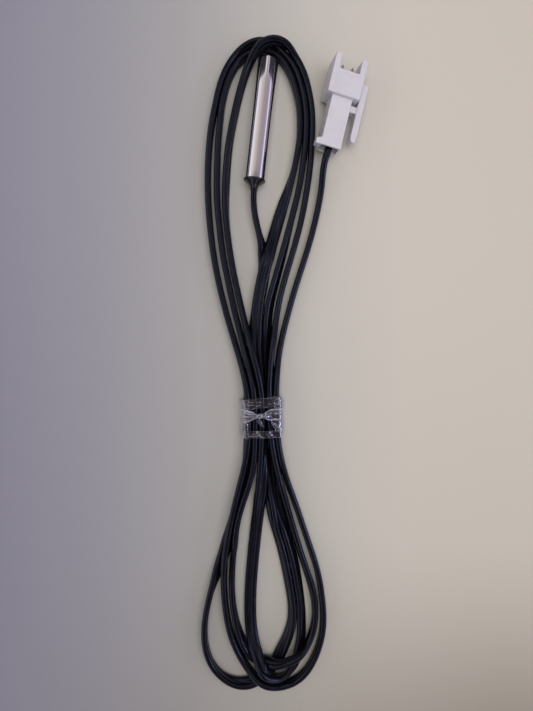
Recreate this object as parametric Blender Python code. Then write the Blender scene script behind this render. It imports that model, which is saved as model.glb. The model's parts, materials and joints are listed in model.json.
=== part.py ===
"""Two-wire temperature sensor: a closed steel probe tube, a flat twin cable tied in a hank, and a
latching two-pin connector. Everything lies on a table. The probe lies along Y with its closed tip
towards +Y, and the origin is under the middle of the probe. All sizes are in metres."""

import math

import bmesh
import bpy
from mathutils import Matrix, Vector

# Probe tube
probe_length = 0.030
probe_diameter = 0.005
probe_wall = 0.0003
tip_thickness = 0.0004
tip_corner_radius = 0.0008
mouth_edge = 0.00008
potting_recess = 0.0002

# Flat twin cable
cable_width = 0.003
cable_thickness = 0.0015
conductor_diameter = 0.0006
web_half_height = 0.0003

# Inside the probe, measured along it
jacket_in_probe = 0.0090
bare_conductor = 0.0030
splice_diameter = 0.0008
splice_length = 0.0040
splice_overlap = 0.0018
sleeve_bore = 0.0010
sleeve_diameter = 0.0012
sleeve_length = 0.0064
bead_diameter = 0.0022
bead_length = 0.0036
bead_tail_diameter = 0.0011
bead_to_tip = 0.0009
bead_lead_diameter = 0.0003
bead_lead_pitch = 0.0005

# Connector housing, moulded in one piece with its latch lever
body_width = 0.0051
body_height = 0.0050
body_length = 0.0121
hood_width = 0.0080
hood_height = 0.0070
hood_side_wall = 0.00145
hood_flat_wall = 0.0010
hood_length = 0.0059
prong_length = 0.0036
bulkhead = 0.0010
rib_length = 0.0013
rib_step = 0.0012
rib_slant = 0.0005
rib_height = 0.0027
rear_step = 0.0001
edge_round = 0.00025
lever_gap = 0.0018
lever_thickness = 0.0015
lever_height = 0.0030
lever_rear = 0.0029
lever_length = 0.0141
bridge_front = 0.0114
bridge_length = 0.0016
hook_length = 0.0014
hook_reach = 0.0004
hook_clearance = 0.0003
cavity_width = 0.0019
cavity_height = 0.0022
pocket_depth = 0.0040
pocket_height = 0.0036
pocket_side_wall = 0.00040
lance_window_length = 0.0016

# Crimped pin contacts
pin_pitch = 0.0025
pin_diameter = 0.0007
pin_reach = 0.0027
pin_taper = 0.0006
contact_box_width = 0.0014
contact_box_height = 0.0016
contact_box_length = 0.0036
contact_sheet = 0.00015
wire_barrel_length = 0.0016
grip_barrel_length = 0.0014
grip_diameter = 0.0012
barrel_seam = math.radians(36)
lance_length = 0.0011
lance_drop = 0.00045

# Clearances
inner_gap = 0.00008
slide_gap = 0.0001
cord_gap = 0.0003
table_gap = 0.00002

# Where the pieces lie: the hank's own frame has its origin in the middle of the tie
hank_lean = math.radians(6.4)
tie_from_mouth = 0.0575
tie_sideways = 0.0084
connector_place = (0.01575, 0.0650)
connector_heading = math.radians(-13.5)
connector_roll = math.radians(9.5)

# Film tie round the neck of the hank
film_thickness = 0.0003
film_corner_radius = 0.0011
tie_upper_edge = 0.0056
tie_lower_edge = -0.0045
tie_upper_band = 0.0023
tie_lower_band = 0.0016
knot_place = (-0.0011, 0.0008)
knot_width = 0.0024
knot_rise = 0.0010

round_sides = 48
small_sides = 16


def finish(name, colour, roughness, metallic=0.0, alpha=1.0):
    material = bpy.data.materials.new(name)
    material.use_nodes = True
    shader = material.node_tree.nodes["Principled BSDF"]
    shader.inputs["Base Color"].default_value = (*colour, 1.0)
    shader.inputs["Roughness"].default_value = roughness
    shader.inputs["Metallic"].default_value = metallic
    shader.inputs["Alpha"].default_value = alpha
    return material


def make_materials():
    return {
        "steel": finish("polished_steel", (0.72, 0.70, 0.69), 0.12, 1.0),
        "epoxy": finish("black_epoxy", (0.015, 0.014, 0.015), 0.35),
        "bead": finish("bead_coat", (0.03, 0.02, 0.02), 0.30),
        "pvc": finish("black_pvc", (0.018, 0.017, 0.021), 0.38),
        "sleeve": finish("clear_sleeve", (0.75, 0.68, 0.55), 0.30),
        "copper": finish("tinned_copper", (0.76, 0.73, 0.70), 0.30, 1.0),
        "solder": finish("solder", (0.70, 0.70, 0.72), 0.25, 1.0),
        "nylon": finish("white_nylon", (0.80, 0.78, 0.80), 0.42),
        "contact": finish("tinned_contact", (0.70, 0.69, 0.67), 0.28, 1.0),
        "film": finish("clear_film", (0.85, 0.87, 0.90), 0.10, 0.0, 0.35),
    }


def place_mesh(name, mesh, material, parent):
    """One named object; round stretches are shaded smooth."""
    mesh.materials.clear()
    mesh.materials.append(material)
    mesh.shade_smooth()
    mesh.set_sharp_from_angle(angle=math.radians(35))
    piece = bpy.data.objects.new(name, mesh)
    bpy.context.collection.objects.link(piece)
    piece.parent = parent
    return piece


def mesh_from(form, name="shape"):
    """Closes a bmesh form into a mesh whose faces point outwards."""
    bmesh.ops.remove_doubles(form, verts=form.verts, dist=1e-7)
    bmesh.ops.recalc_face_normals(form, faces=form.faces)
    mesh = bpy.data.meshes.new(name)
    form.to_mesh(mesh)
    form.free()
    return mesh


def combine(base, operation, others):
    """The base mesh joined with, or cut by, each of the others, as a new mesh."""
    holder = bpy.data.objects.new("base_shape", base)
    bpy.context.collection.objects.link(holder)
    helpers = []
    for other in others:
        helper = bpy.data.objects.new("other_shape", other)
        helper.hide_render = True
        helper.display_type = "WIRE"
        bpy.context.collection.objects.link(helper)
        helpers.append(helper)
        modifier = holder.modifiers.new("step", "BOOLEAN")
        modifier.operation = operation
        modifier.solver = "EXACT"
        modifier.object = helper
    bpy.context.view_layer.update()
    graph = bpy.context.evaluated_depsgraph_get()
    result = bpy.data.meshes.new_from_object(holder.evaluated_get(graph), depsgraph=graph)
    for piece in [holder, *helpers]:
        bpy.data.objects.remove(piece)
    return result


def join(base, *others):
    return combine(base, "UNION", others)


def cut(base, *others):
    return combine(base, "DIFFERENCE", others)


def moved(mesh, offset):
    copy = mesh.copy()
    copy.transform(Matrix.Translation(offset))
    return copy


def turned(profile, sides=round_sides):
    """Spins a profile of (along Y, radius) points round the Y axis; a radius of 0 closes an end."""
    form = bmesh.new()
    points = [form.verts.new((radius, along, 0.0)) for along, radius in profile]
    edges = [form.edges.new(pair) for pair in zip(points, points[1:])]
    if profile[0][1] > 0.0:
        edges.append(form.edges.new((points[-1], points[0])))
    bmesh.ops.spin(
        form, geom=points + edges, cent=(0, 0, 0), axis=(0, 1, 0), angle=math.tau, steps=sides
    )
    return mesh_from(form)


def rod(start, end, diameter, sides=small_sides):
    radius = diameter / 2
    return turned([(start, 0.0), (start, radius), (end, radius), (end, 0.0)], sides)


def block(low, high, rounding=0.0, steps=2):
    """A box between two corners, with all its edges rounded."""
    form = bmesh.new()
    bmesh.ops.create_cube(form, size=1.0)
    size = [b - a for a, b in zip(low, high)]
    middle = [(a + b) / 2 for a, b in zip(low, high)]
    bmesh.ops.scale(form, vec=size, verts=form.verts)
    bmesh.ops.translate(form, vec=middle, verts=form.verts)
    if rounding:
        bmesh.ops.bevel(
            form, geom=form.edges[:], offset=rounding, segments=steps, profile=0.5, affect="EDGES"
        )
    return mesh_from(form)


def prism(outline, start, end, axis="Z"):
    """Extrudes a flat outline: (x, y) along Z, (x, z) along Y, or (y, z) along X."""
    form = bmesh.new()
    place = {
        "Z": lambda first, second: (first, second, start),
        "Y": lambda first, second: (first, start, second),
        "X": lambda first, second: (start, first, second),
    }[axis]
    travel = {"Z": (0, 0, 1), "Y": (0, 1, 0), "X": (1, 0, 0)}[axis]
    travel = Vector(travel) * (end - start)
    base = form.faces.new([form.verts.new(place(*point)) for point in outline])
    raised = bmesh.ops.extrude_face_region(form, geom=[base])["geom"]
    lifted = [item for item in raised if isinstance(item, bmesh.types.BMVert)]
    bmesh.ops.translate(form, vec=travel, verts=lifted)
    return mesh_from(form)


def curve_between(before, start, end, after, share):
    """A Catmull-Rom point between start and end."""
    a = 2 * start
    b = end - before
    c = 2 * before - 5 * start + 4 * end - after
    d = after - before + 3 * (start - end)
    return 0.5 * (a + b * share + c * share**2 + d * share**3)


def smooth_line(points, spacing):
    """Evenly spread points on a smooth curve through the given ones."""
    given = [Vector(point) for point in points]
    given = [2 * given[0] - given[1], *given, 2 * given[-1] - given[-2]]
    line = []
    for index in range(1, len(given) - 2):
        before, start, end, after = given[index - 1 : index + 3]
        steps = max(1, round((end - start).length / spacing))
        line += [curve_between(before, start, end, after, step / steps) for step in range(steps)]
    return [*line, given[-2]]


def smooth_ring(points, spacing):
    """A closed outline through (x, y) points; a third value marks a sharp corner."""
    given = [(Vector(point[:2]), len(point) > 2) for point in points]
    count = len(given)
    ring = []
    for index in range(count):
        start, start_sharp = given[index]
        end, end_sharp = given[(index + 1) % count]
        before = 2 * start - end if start_sharp else given[index - 1][0]
        after = 2 * end - start if end_sharp else given[(index + 2) % count][0]
        steps = max(1, round((end - start).length / spacing))
        ring += [curve_between(before, start, end, after, step / steps) for step in range(steps)]
    return ring


def swept(path, radius_at, bore=0.0, sides=small_sides):
    """A round bar along a path, with an optional bore; radius_at gives its radius at each point."""
    form = bmesh.new()
    rings = []
    side = Vector((1, 0, 0))
    for index, place in enumerate(path):
        ahead = (path[min(index + 1, len(path) - 1)] - path[max(index - 1, 0)]).normalized()
        side = (side - ahead * side.dot(ahead)).normalized()
        up = ahead.cross(side)
        spokes = [math.tau * step / sides for step in range(sides)]
        rays = [side * math.cos(spoke) + up * math.sin(spoke) for spoke in spokes]
        outer = [form.verts.new(place + ray * radius_at(index)) for ray in rays]
        inner = [form.verts.new(place + ray * bore / 2) for ray in rays] if bore else []
        rings.append((outer, inner))
    for (outer, inner), (next_outer, next_inner) in zip(rings, rings[1:]):
        for near, far in ((outer, next_outer), (inner, next_inner)):
            for step in range(len(near)):
                turn = (step + 1) % len(near)
                form.faces.new((near[step], near[turn], far[turn], far[step]))
    for outer, inner in (rings[0], rings[-1]):
        if not bore:
            form.faces.new(outer)
            continue
        for step in range(sides):
            turn = (step + 1) % sides
            form.faces.new((outer[step], outer[turn], inner[turn], inner[step]))
    return mesh_from(form)


def empty(name, location, rotation=(0, 0, 0), parent=None):
    frame = bpy.data.objects.new(name, None)
    frame.location = location
    frame.rotation_euler = rotation
    frame.parent = parent
    bpy.context.collection.objects.link(frame)
    return frame


mouth = -probe_length / 2
tip = probe_length / 2
potting_face = mouth + potting_recess
core_offset = (cable_width - cable_thickness) / 2
bead_front = tip - tip_thickness - bead_to_tip
bead_rear = bead_front - bead_length
jacket_end = potting_face + jacket_in_probe
conductor_end = jacket_end + bare_conductor
splice_start = conductor_end - splice_overlap
splice_end = splice_start + splice_length
sleeve_start = splice_start - (sleeve_length - splice_length) / 3
sleeve_end = sleeve_start + sleeve_length


def probe_profile():
    """The closed tube's section: outside from mouth to tip, then back along the bore."""
    outer = probe_diameter / 2
    inner = outer - probe_wall
    inner_corner = tip_corner_radius - probe_wall
    inner_tip = tip - tip_thickness
    arc = [math.radians(angle) for angle in (0, 18, 36, 54, 72, 90)]
    outside = [
        (
            tip - tip_corner_radius * (1 - math.sin(angle)),
            outer - tip_corner_radius * (1 - math.cos(angle)),
        )
        for angle in arc
    ]
    inside = [
        (
            inner_tip - inner_corner * (1 - math.cos(angle)),
            inner - inner_corner * (1 - math.sin(angle)),
        )
        for angle in arc
    ]
    return [
        (inner_tip, 0.0),
        *inside,
        (mouth, inner),
        (mouth, outer - mouth_edge),
        (mouth + mouth_edge, outer),
        *outside,
        (tip, 0.0),
    ]


def bead_profile(swell=0.0):
    """A dipped drop: flat tail towards the leads, then a full round body."""
    tail = bead_tail_diameter / 2 + swell
    body = bead_diameter / 2 + swell
    round_centre = bead_front - bead_diameter / 2
    nose = [
        (round_centre + body * math.sin(math.radians(angle)), body * math.cos(math.radians(angle)))
        for angle in (0, 18, 36, 54, 72)
    ]
    return [
        (bead_rear - swell, 0.0),
        (bead_rear - swell, tail),
        ((2 * bead_rear + round_centre) / 3, 0.72 * tail + 0.28 * body),
        ((bead_rear + 2 * round_centre) / 3, 0.25 * tail + 0.75 * body),
        *nose,
        (round_centre + body, 0.0),
    ]


def twin_jacket(start, end, swell=0.0):
    """The figure-eight outline of the cable, extruded along Y; its two lobes stand one above the other."""
    radius = cable_thickness / 2 + swell
    waist = web_half_height + swell
    lift = math.asin(waist / radius)
    lobe = [-math.pi / 2 + lift + (math.pi - lift) * 2 * step / 18 for step in range(19)]
    right_to_left = [
        (radius * math.cos(angle), core_offset + radius * math.sin(angle)) for angle in lobe
    ]
    upper = [(x, z) for x, z in right_to_left if z > 0]
    lower = [(-x, -z) for x, z in upper]
    return prism(upper + lower, start, end, "Y")


def lead_path(height):
    """One thin bead lead: straight in the sleeve, then drawn in towards the bead."""
    near = bead_lead_pitch / 2
    sign = math.copysign(1, height)
    start = splice_end - splice_overlap + inner_gap
    bend = sleeve_end
    reach = bead_rear - inner_gap
    middle = (bend + reach) / 2
    points = [
        (0, start, height),
        (0, bend, height),
        (0, middle, (height + sign * near) / 2),
        (0, reach - bead_lead_diameter, sign * near),
        (0, reach, sign * near),
    ]
    return smooth_line(points, bead_lead_diameter * 4)


def make_probe(parent, materials):
    """The tube, its potting and the sensing parts inside, about the tube's own axis."""
    place_mesh("probe_tube", turned(probe_profile()), materials["steel"], parent)

    filling = probe_diameter / 2 - probe_wall - inner_gap
    corner = tip_corner_radius - probe_wall
    front = tip - tip_thickness - inner_gap
    potting = turned(
        [
            (potting_face, 0.0),
            (potting_face, filling),
            (front - corner, filling),
            (front - corner * 0.29, filling - corner * 0.29),
            (front, filling - corner),
            (front, 0.0),
        ]
    )
    channels = [twin_jacket(potting_face - 0.001, jacket_end + inner_gap, inner_gap)]
    channels.append(turned(bead_profile(inner_gap), small_sides))
    for height in (core_offset, -core_offset):
        bore = sleeve_diameter + 2 * inner_gap
        sleeve_room = rod(jacket_end - inner_gap, sleeve_end + inner_gap, bore)
        channels.append(moved(sleeve_room, (0, 0, height)))
        room = bead_lead_diameter / 2 + inner_gap
        channels.append(swept(lead_path(height), lambda index: room, sides=8))
    place_mesh("potting", cut(potting, *channels), materials["epoxy"], parent)

    jacket = twin_jacket(potting_face, jacket_end)
    bores = [
        moved(
            rod(potting_face - 0.001, jacket_end + 0.001, conductor_diameter + 2 * inner_gap),
            (0, 0, height),
        )
        for height in (core_offset, -core_offset)
    ]
    place_mesh("probe_jacket", cut(jacket, *bores), materials["pvc"], parent)
    bead = turned(bead_profile(), small_sides)
    place_mesh("thermistor_bead", bead, materials["bead"], parent)

    for letter, height in (("a", core_offset), ("b", -core_offset)):
        up = (0, 0, height)
        conductor = moved(rod(potting_face, conductor_end, conductor_diameter), up)
        place_mesh(f"probe_conductor_{letter}", conductor, materials["copper"], parent)
        splice = cut(
            rod(splice_start, splice_end, splice_diameter),
            rod(
                splice_start - 0.001,
                conductor_end + inner_gap,
                conductor_diameter + inner_gap,
            ),
            rod(
                splice_end - splice_overlap,
                splice_end + 0.001,
                bead_lead_diameter + 2 * inner_gap,
            ),
        )
        place_mesh(f"lead_splice_{letter}", moved(splice, up), materials["solder"], parent)
        sleeve = cut(
            rod(sleeve_start, sleeve_end, sleeve_diameter),
            rod(sleeve_start - 0.001, sleeve_end + 0.001, sleeve_bore),
        )
        place_mesh(f"lead_sleeve_{letter}", moved(sleeve, up), materials["sleeve"], parent)
        lead = swept(lead_path(height), lambda index: bead_lead_diameter / 2, sides=8)
        place_mesh(f"bead_lead_{letter}", lead, materials["copper"], parent)


# The cable's hand-chosen route in the hank's frame: (sideways, along the hank, height of its middle)
probe_lead_route = [
    (-0.00225, 0.0555, 0.00235),
    (-0.0023, 0.0532, 0.00205),
    (-0.0021, 0.0510, 0.00175),
    (-0.0017, 0.0486, 0.00157),
    (-0.0012, 0.0464, 0.00154),
    (-0.0009, 0.0449, 0.00154),
]
plug_lead_route = [
    (0.0151, 0.0627, 0.00400),
    (0.0149, 0.0602, 0.00340),
    (0.0146, 0.0576, 0.00260),
    (0.0142, 0.0549, 0.00195),
    (0.01365, 0.0520, 0.00160),
    (0.0129, 0.0485, 0.00154),
    (0.0118, 0.0440, 0.00154),
    (0.0104, 0.0395, 0.00154),
    (0.0090, 0.0350, 0.00154),
    (0.0078, 0.0313, 0.00154),
    (0.00715, 0.0295, 0.00154),
]

# Outlines of the hank seen from above, in its own frame; a third value marks a sharp corner
hank_outer = [
    (0.0024, 0.0942),
    (0.0074, 0.0908),
    (0.0104, 0.0849),
    (0.0121, 0.0770),
    (0.0127, 0.0690),
    (0.0124, 0.0620),
    (0.0111, 0.0530),
    (0.0093, 0.0437),
    (0.0067, 0.0346),
    (0.0052, 0.0297, 1),
    (0.0088, 0.0284, 1),
    (0.0064, 0.0243),
    (0.0047, 0.0152),
    (0.0040, 0.0053),
    (0.0041, 0.0002),
    (0.0045, -0.0050),
    (0.0059, -0.0128),
    (0.0088, -0.0227),
    (0.0121, -0.0325),
    (0.0147, -0.0410),
    (0.0157, -0.0500),
    (0.0145, -0.0570),
    (0.0118, -0.0623),
    (0.0071, -0.0660),
    (0.0035, -0.0667),
    (-0.0005, -0.0662),
    (-0.0049, -0.0662),
    (-0.0095, -0.0651),
    (-0.0135, -0.0603),
    (-0.0152, -0.0539),
    (-0.0150, -0.0492),
    (-0.0126, -0.0400),
    (-0.0100, -0.0325),
    (-0.0081, -0.0227),
    (-0.0056, -0.0128),
    (-0.0041, -0.0050),
    (-0.0041, 0.0002),
    (-0.0045, 0.0053),
    (-0.0066, 0.0152),
    (-0.0093, 0.0243),
    (-0.0114, 0.0346),
    (-0.0130, 0.0437),
    (-0.0140, 0.0530),
    (-0.0141, 0.0620),
    (-0.0130, 0.0737),
    (-0.0106, 0.0851),
    (-0.0068, 0.0910),
    (-0.0020, 0.0937),
]
hank_upper_opening = [
    (0.0046, 0.0878),
    (0.0072, 0.0828),
    (0.0085, 0.0759),
    (0.0084, 0.0705),
    (0.0069, 0.0621),
    (0.0037, 0.0530),
    (0.0020, 0.0484),
    (0.0011, 0.0450, 1),
    (-0.0026, 0.0443, 1),
    (-0.0029, 0.0350),
    (-0.0038, 0.0260),
    (-0.0056, 0.0324),
    (-0.0073, 0.0415),
    (-0.0081, 0.0506),
    (-0.0078, 0.0621),
    (-0.0064, 0.0737),
    (-0.0034, 0.0850),
    (-0.0013, 0.0893),
    (0.0018, 0.0893),
]
hank_lower_opening = [
    (0.0010, -0.0210),
    (-0.0007, -0.0325),
    (-0.0014, -0.0446),
    (-0.0012, -0.0539),
    (0.0002, -0.0590),
    (0.0023, -0.0597),
    (0.0047, -0.0568),
    (0.0065, -0.0495),
    (0.0059, -0.0446),
    (0.0035, -0.0325),
]
hank_centre_slit = [
    (-0.0016, -0.0138),
    (-0.0046, -0.0227),
    (-0.0062, -0.0325),
    (-0.0066, -0.0446),
    (-0.0059, -0.0492),
    (-0.0045, -0.0543),
    (-0.0046, -0.0446),
    (-0.0038, -0.0325),
    (-0.0027, -0.0219),
]
hank_left_slit = [
    (-0.0107, -0.0391),
    (-0.0103, -0.0455),
    (-0.0088, -0.0539),
    (-0.0067, -0.0588),
    (-0.0042, -0.0630),
    (-0.0071, -0.0636),
    (-0.0120, -0.0604),
    (-0.0136, -0.0539),
    (-0.0133, -0.0480),
]
# How high the wound cable stands along the hank, lowest station first
hank_heights = [
    (-0.070, 0.0044),
    (-0.056, 0.0042),
    (-0.044, 0.0032),
    (-0.022, 0.0036),
    (-0.008, 0.0056),
    (0.008, 0.0058),
    (0.026, 0.0048),
    (0.045, 0.0033),
    (0.078, 0.0032),
    (0.090, 0.0045),
    (0.100, 0.0045),
]
hank_point_spacing = 0.0025
hank_edge = 0.0004
neck_lift_near = 0.0075
neck_lift_far = 0.0170


def hank_top(along):
    for (near, low), (far, high) in zip(hank_heights, hank_heights[1:]):
        if along <= far:
            share = (along - near) / (far - near)
            return low + (high - low) * share * share * (3 - 2 * share)
    return hank_heights[-1][1]


def hank_base(along):
    """The bundle is lifted off the table only where the film passes under it."""
    share = (neck_lift_far - abs(along)) / (neck_lift_far - neck_lift_near)
    share = min(1.0, max(0.0, share))
    lift = film_thickness + cord_gap
    return table_gap + lift * share * share * (3 - 2 * share)


def inset(ring, distance):
    """Moves a closed outline's points towards its inside, or outside for a negative distance."""
    count = len(ring)
    pairs = [(ring[index], ring[(index + 1) % count]) for index in range(count)]
    area = sum(start.x * end.y - end.x * start.y for start, end in pairs)
    step = distance if area > 0 else -distance
    moved_ring = []
    for index, point in enumerate(ring):
        before = (point - ring[index - 1]).normalized()
        after = (ring[(index + 1) % count] - point).normalized()
        normals = [Vector((-way.y, way.x)) for way in (before, after)]
        middle = (normals[0] + normals[1]).normalized()
        moved_ring.append(point + middle * step / max(0.6, middle.dot(normals[0])))
    return moved_ring


def make_hank(parent, materials):
    """The wound part of the cable as one thick outline with its loops left open."""
    form = bmesh.new()
    floors = []
    tops = []
    openings = [hank_upper_opening, hank_lower_opening, hank_centre_slit, hank_left_slit]
    for outline, way in [(hank_outer, 1)] + [(opening, -1) for opening in openings]:
        ring = smooth_ring(outline, hank_point_spacing)
        rim = inset(ring, way * hank_edge)
        levels = [
            [(x, y, hank_base(y)) for x, y in rim],
            [(x, y, hank_base(y) + hank_edge) for x, y in ring],
            [(x, y, hank_top(y) - hank_edge) for x, y in ring],
            [(x, y, hank_top(y)) for x, y in rim],
        ]
        rings = [[form.verts.new(place) for place in level] for level in levels]
        for lower, upper in zip(rings, rings[1:]):
            for index in range(len(lower)):
                form.faces.new((lower[index - 1], lower[index], upper[index], upper[index - 1]))
        floors.append(rings[0])
        tops.append(rings[-1])
    for level in (floors, tops):
        ends = {corner for ring in level for corner in ring}
        edges = [edge for edge in form.edges if edge.is_boundary and set(edge.verts) <= ends]
        bmesh.ops.triangle_fill(form, use_beauty=True, edges=edges)
    place_mesh("cable_hank", mesh_from(form), materials["pvc"], parent)


def make_lead(name, points, parent, material):
    """A free stretch of cable, drawn as a round tube as wide as the flat cable."""
    curve = bpy.data.curves.new(name, "CURVE")
    curve.dimensions = "3D"
    curve.bevel_depth = cable_width / 2
    curve.bevel_resolution = 2
    curve.use_fill_caps = True
    line = smooth_line(points, cable_width * 0.8)
    spline = curve.splines.new("POLY")
    spline.points.add(len(line) - 1)
    for point, place in zip(spline.points, line):
        point.co = (*place, 1.0)
    curve.materials.append(material)
    piece = bpy.data.objects.new(name, curve)
    bpy.context.collection.objects.link(piece)
    piece.parent = parent


def rounded_rectangle(left, right, bottom, top, radius, steps=5):
    outline = []
    corners = ((right, top, 0), (left, top, 90), (left, bottom, 180), (right, bottom, 270))
    for x, z, start in corners:
        centre_x = x - radius if x == right else x + radius
        centre_z = z - radius if z == top else z + radius
        for step in range(steps + 1):
            angle = math.radians(start + 90 * step / steps)
            outline.append((centre_x + radius * math.cos(angle), centre_z + radius * math.sin(angle)))
    return outline


def make_tie(parent, materials):
    """Clear film wound round the neck: two bands, gathered between them into a knot on top."""
    near = [point[0] for point in hank_outer if tie_lower_edge - 0.002 < point[1] < tie_upper_edge]
    left = min(near) - cord_gap
    right = max(near) + cord_gap
    top = hank_top(tie_upper_edge) + cord_gap
    bottom = table_gap
    inner = rounded_rectangle(left, right, bottom + film_thickness, top, film_corner_radius)
    outer = rounded_rectangle(
        left - film_thickness,
        right + film_thickness,
        bottom,
        top + film_thickness,
        film_corner_radius + film_thickness,
    )
    sleeve = cut(
        prism(outer, tie_lower_edge, tie_upper_edge, "Y"),
        prism(inner, tie_lower_edge - 0.001, tie_upper_edge + 0.001, "Y"),
    )
    knot_x, knot_y = knot_place
    half = knot_width / 2
    upper = tie_upper_edge - tie_upper_band
    lower = tie_lower_edge + tie_lower_band
    edge = film_corner_radius
    windows = [
        [
            (left + edge, upper),
            (left + edge, upper - 0.0006),
            (knot_x - half / 2, knot_y + half / 2),
            (knot_x + half / 2, knot_y + half / 2),
            (right - edge, upper - 0.0004),
            (right - edge, upper),
        ],
        [
            (left + edge, lower),
            (right - edge, lower),
            (right - edge, lower + 0.0008),
            (knot_x + half / 2, knot_y - half / 2),
            (knot_x - half / 2, knot_y - half / 2),
            (left + edge, lower + 0.0010),
        ],
    ]
    ceiling = top - film_corner_radius
    cutters = [prism(outline, ceiling, top + 0.002) for outline in windows]
    form = bmesh.new()
    bmesh.ops.create_uvsphere(form, u_segments=14, v_segments=8, radius=0.5)
    bmesh.ops.scale(form, vec=(knot_width, knot_width * 0.8, 2 * knot_rise), verts=form.verts)
    middle = top + film_thickness / 2
    bmesh.ops.translate(form, vec=(knot_x, knot_y, middle), verts=form.verts)
    floor = top + film_thickness / 4
    bmesh.ops.bisect_plane(
        form,
        geom=form.verts[:] + form.edges[:] + form.faces[:],
        plane_co=(0, 0, floor),
        plane_no=(0, 0, -1),
        clear_outer=True,
    )
    rim = [edge for edge in form.edges if edge.is_boundary]
    bmesh.ops.contextual_create(form, geom=rim)
    knot = mesh_from(form)
    place_mesh("tie_strip", join(cut(sleeve, *cutters), knot), materials["film"], parent)


body_half = body_width / 2
hood_half = hood_width / 2
hood_rear = body_length
hood_front = body_length + hood_length
prong_front = hood_front + prong_length
hood_floor = hood_rear + bulkhead
lever_inner = body_half + lever_gap
lever_outer = lever_inner + lever_thickness
lever_front = lever_rear + lever_length


def lever_outline():
    """The latch lever from above: a straight bar, thinned at its press end, hooked at its front."""
    hood_wall_inner = hood_half - hood_side_wall
    hook_tip = hood_wall_inner - hook_reach
    hook_rear = lever_front - hook_length
    thin = lever_thickness * 0.45
    return [
        (lever_inner + thin * 0.6, lever_rear),
        (lever_outer - thin * 0.6, lever_rear),
        (lever_outer, lever_rear + 0.0013),
        (lever_outer, lever_front - 0.0006),
        (lever_outer - 0.0005, lever_front),
        (lever_inner - 0.0002, lever_front),
        (hook_tip, hook_rear + 0.0005),
        (hook_tip, hook_rear),
        (lever_inner, hook_rear),
        (lever_inner, lever_rear + 0.0013),
    ]


def make_housing(parent, materials):
    """Body, hood, prongs, rear rib and the see-saw latch lever, moulded as one piece."""
    body = block(
        (-body_half, rear_step, -body_height / 2),
        (body_half, hood_rear + bulkhead / 2, body_height / 2),
        edge_round,
    )
    hood = block(
        (-hood_half, hood_rear, -hood_height / 2),
        (hood_half, prong_front, hood_height / 2),
        edge_round,
    )
    rib_left = body_half + rib_step
    rib_top = body_height / 2 - edge_round / 2
    rib = prism(
        [
            (-rib_left, 0.0),
            (body_half - edge_round, 0.0),
            (body_half - edge_round, rib_length + rib_slant),
            (-body_half + edge_round, rib_length + rib_slant),
            (-rib_left, rib_length),
        ],
        rib_top - rib_height,
        rib_top,
    )
    lever = prism(lever_outline(), -lever_height / 2, lever_height / 2)
    bridge = block(
        (body_half - edge_round, bridge_front - bridge_length, edge_round - lever_height / 2),
        (lever_inner + lever_thickness / 2, bridge_front, lever_height / 2 - edge_round),
    )

    inner_half = hood_half - hood_side_wall
    inner_height = hood_height / 2 - hood_flat_wall
    beyond = 0.002
    mating_room = prism(
        [
            (hood_floor, -inner_height),
            (hood_front, -inner_height),
            (hood_front, -hood_height),
            (prong_front + beyond, -hood_height),
            (prong_front + beyond, hood_height),
            (hood_front, hood_height),
            (hood_front, inner_height),
            (hood_floor, inner_height),
        ],
        -inner_half,
        inner_half,
        "X",
    )
    hook_room = lever_height / 2 + hook_clearance
    hook_window = block(
        (inner_half - beyond / 2, lever_front - hook_length - hook_clearance, -hook_room),
        (hood_half + beyond, lever_front + hook_clearance, hook_room),
    )
    pocket_half = body_half - pocket_side_wall
    pocket = block(
        (-pocket_half, -beyond, -pocket_height / 2), (pocket_half, pocket_depth, pocket_height / 2)
    )
    cuts = [mating_room, hook_window, pocket]
    for side in (-pin_pitch / 2, pin_pitch / 2):
        cavity = block(
            (side - cavity_width / 2, pocket_depth - beyond / 4, -cavity_height / 2),
            (side + cavity_width / 2, hood_rear, cavity_height / 2),
        )
        pin_hole = moved(
            rod(hood_rear - beyond / 2, hood_floor + beyond / 4, pin_diameter + 2 * slide_gap),
            (side, 0, 0),
        )
        lance_end = hood_rear - contact_box_length * 0.55
        window = block(
            (side - cavity_width / 4, lance_end - lance_window_length, -body_height),
            (side + cavity_width / 4, lance_end, -cavity_height / 4),
        )
        cuts += [cavity, pin_hole, window]
    shell = cut(join(hood, body, rib), *cuts)
    place_mesh("connector_housing", join(shell, lever, bridge), materials["nylon"], parent)


def barrel(inner, start, end):
    """A crimp barrel: sheet rolled round the wire, with its seam on top."""
    outer = inner + contact_sheet
    steps = 12
    first = math.pi / 2 + barrel_seam / 2
    sweep = math.tau - barrel_seam
    angles = [first + sweep * step / steps for step in range(steps + 1)]
    outline = [(outer * math.cos(angle), outer * math.sin(angle)) for angle in angles]
    outline += [(inner * math.cos(angle), inner * math.sin(angle)) for angle in reversed(angles)]
    return prism(outline, start, end, "Y")


box_front = hood_rear - slide_gap
box_rear = box_front - contact_box_length
wire_barrel_front = box_rear - 0.0008
wire_barrel_rear = wire_barrel_front - wire_barrel_length
grip_barrel_front = wire_barrel_rear - 0.0007
grip_barrel_rear = grip_barrel_front - grip_barrel_length


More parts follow.
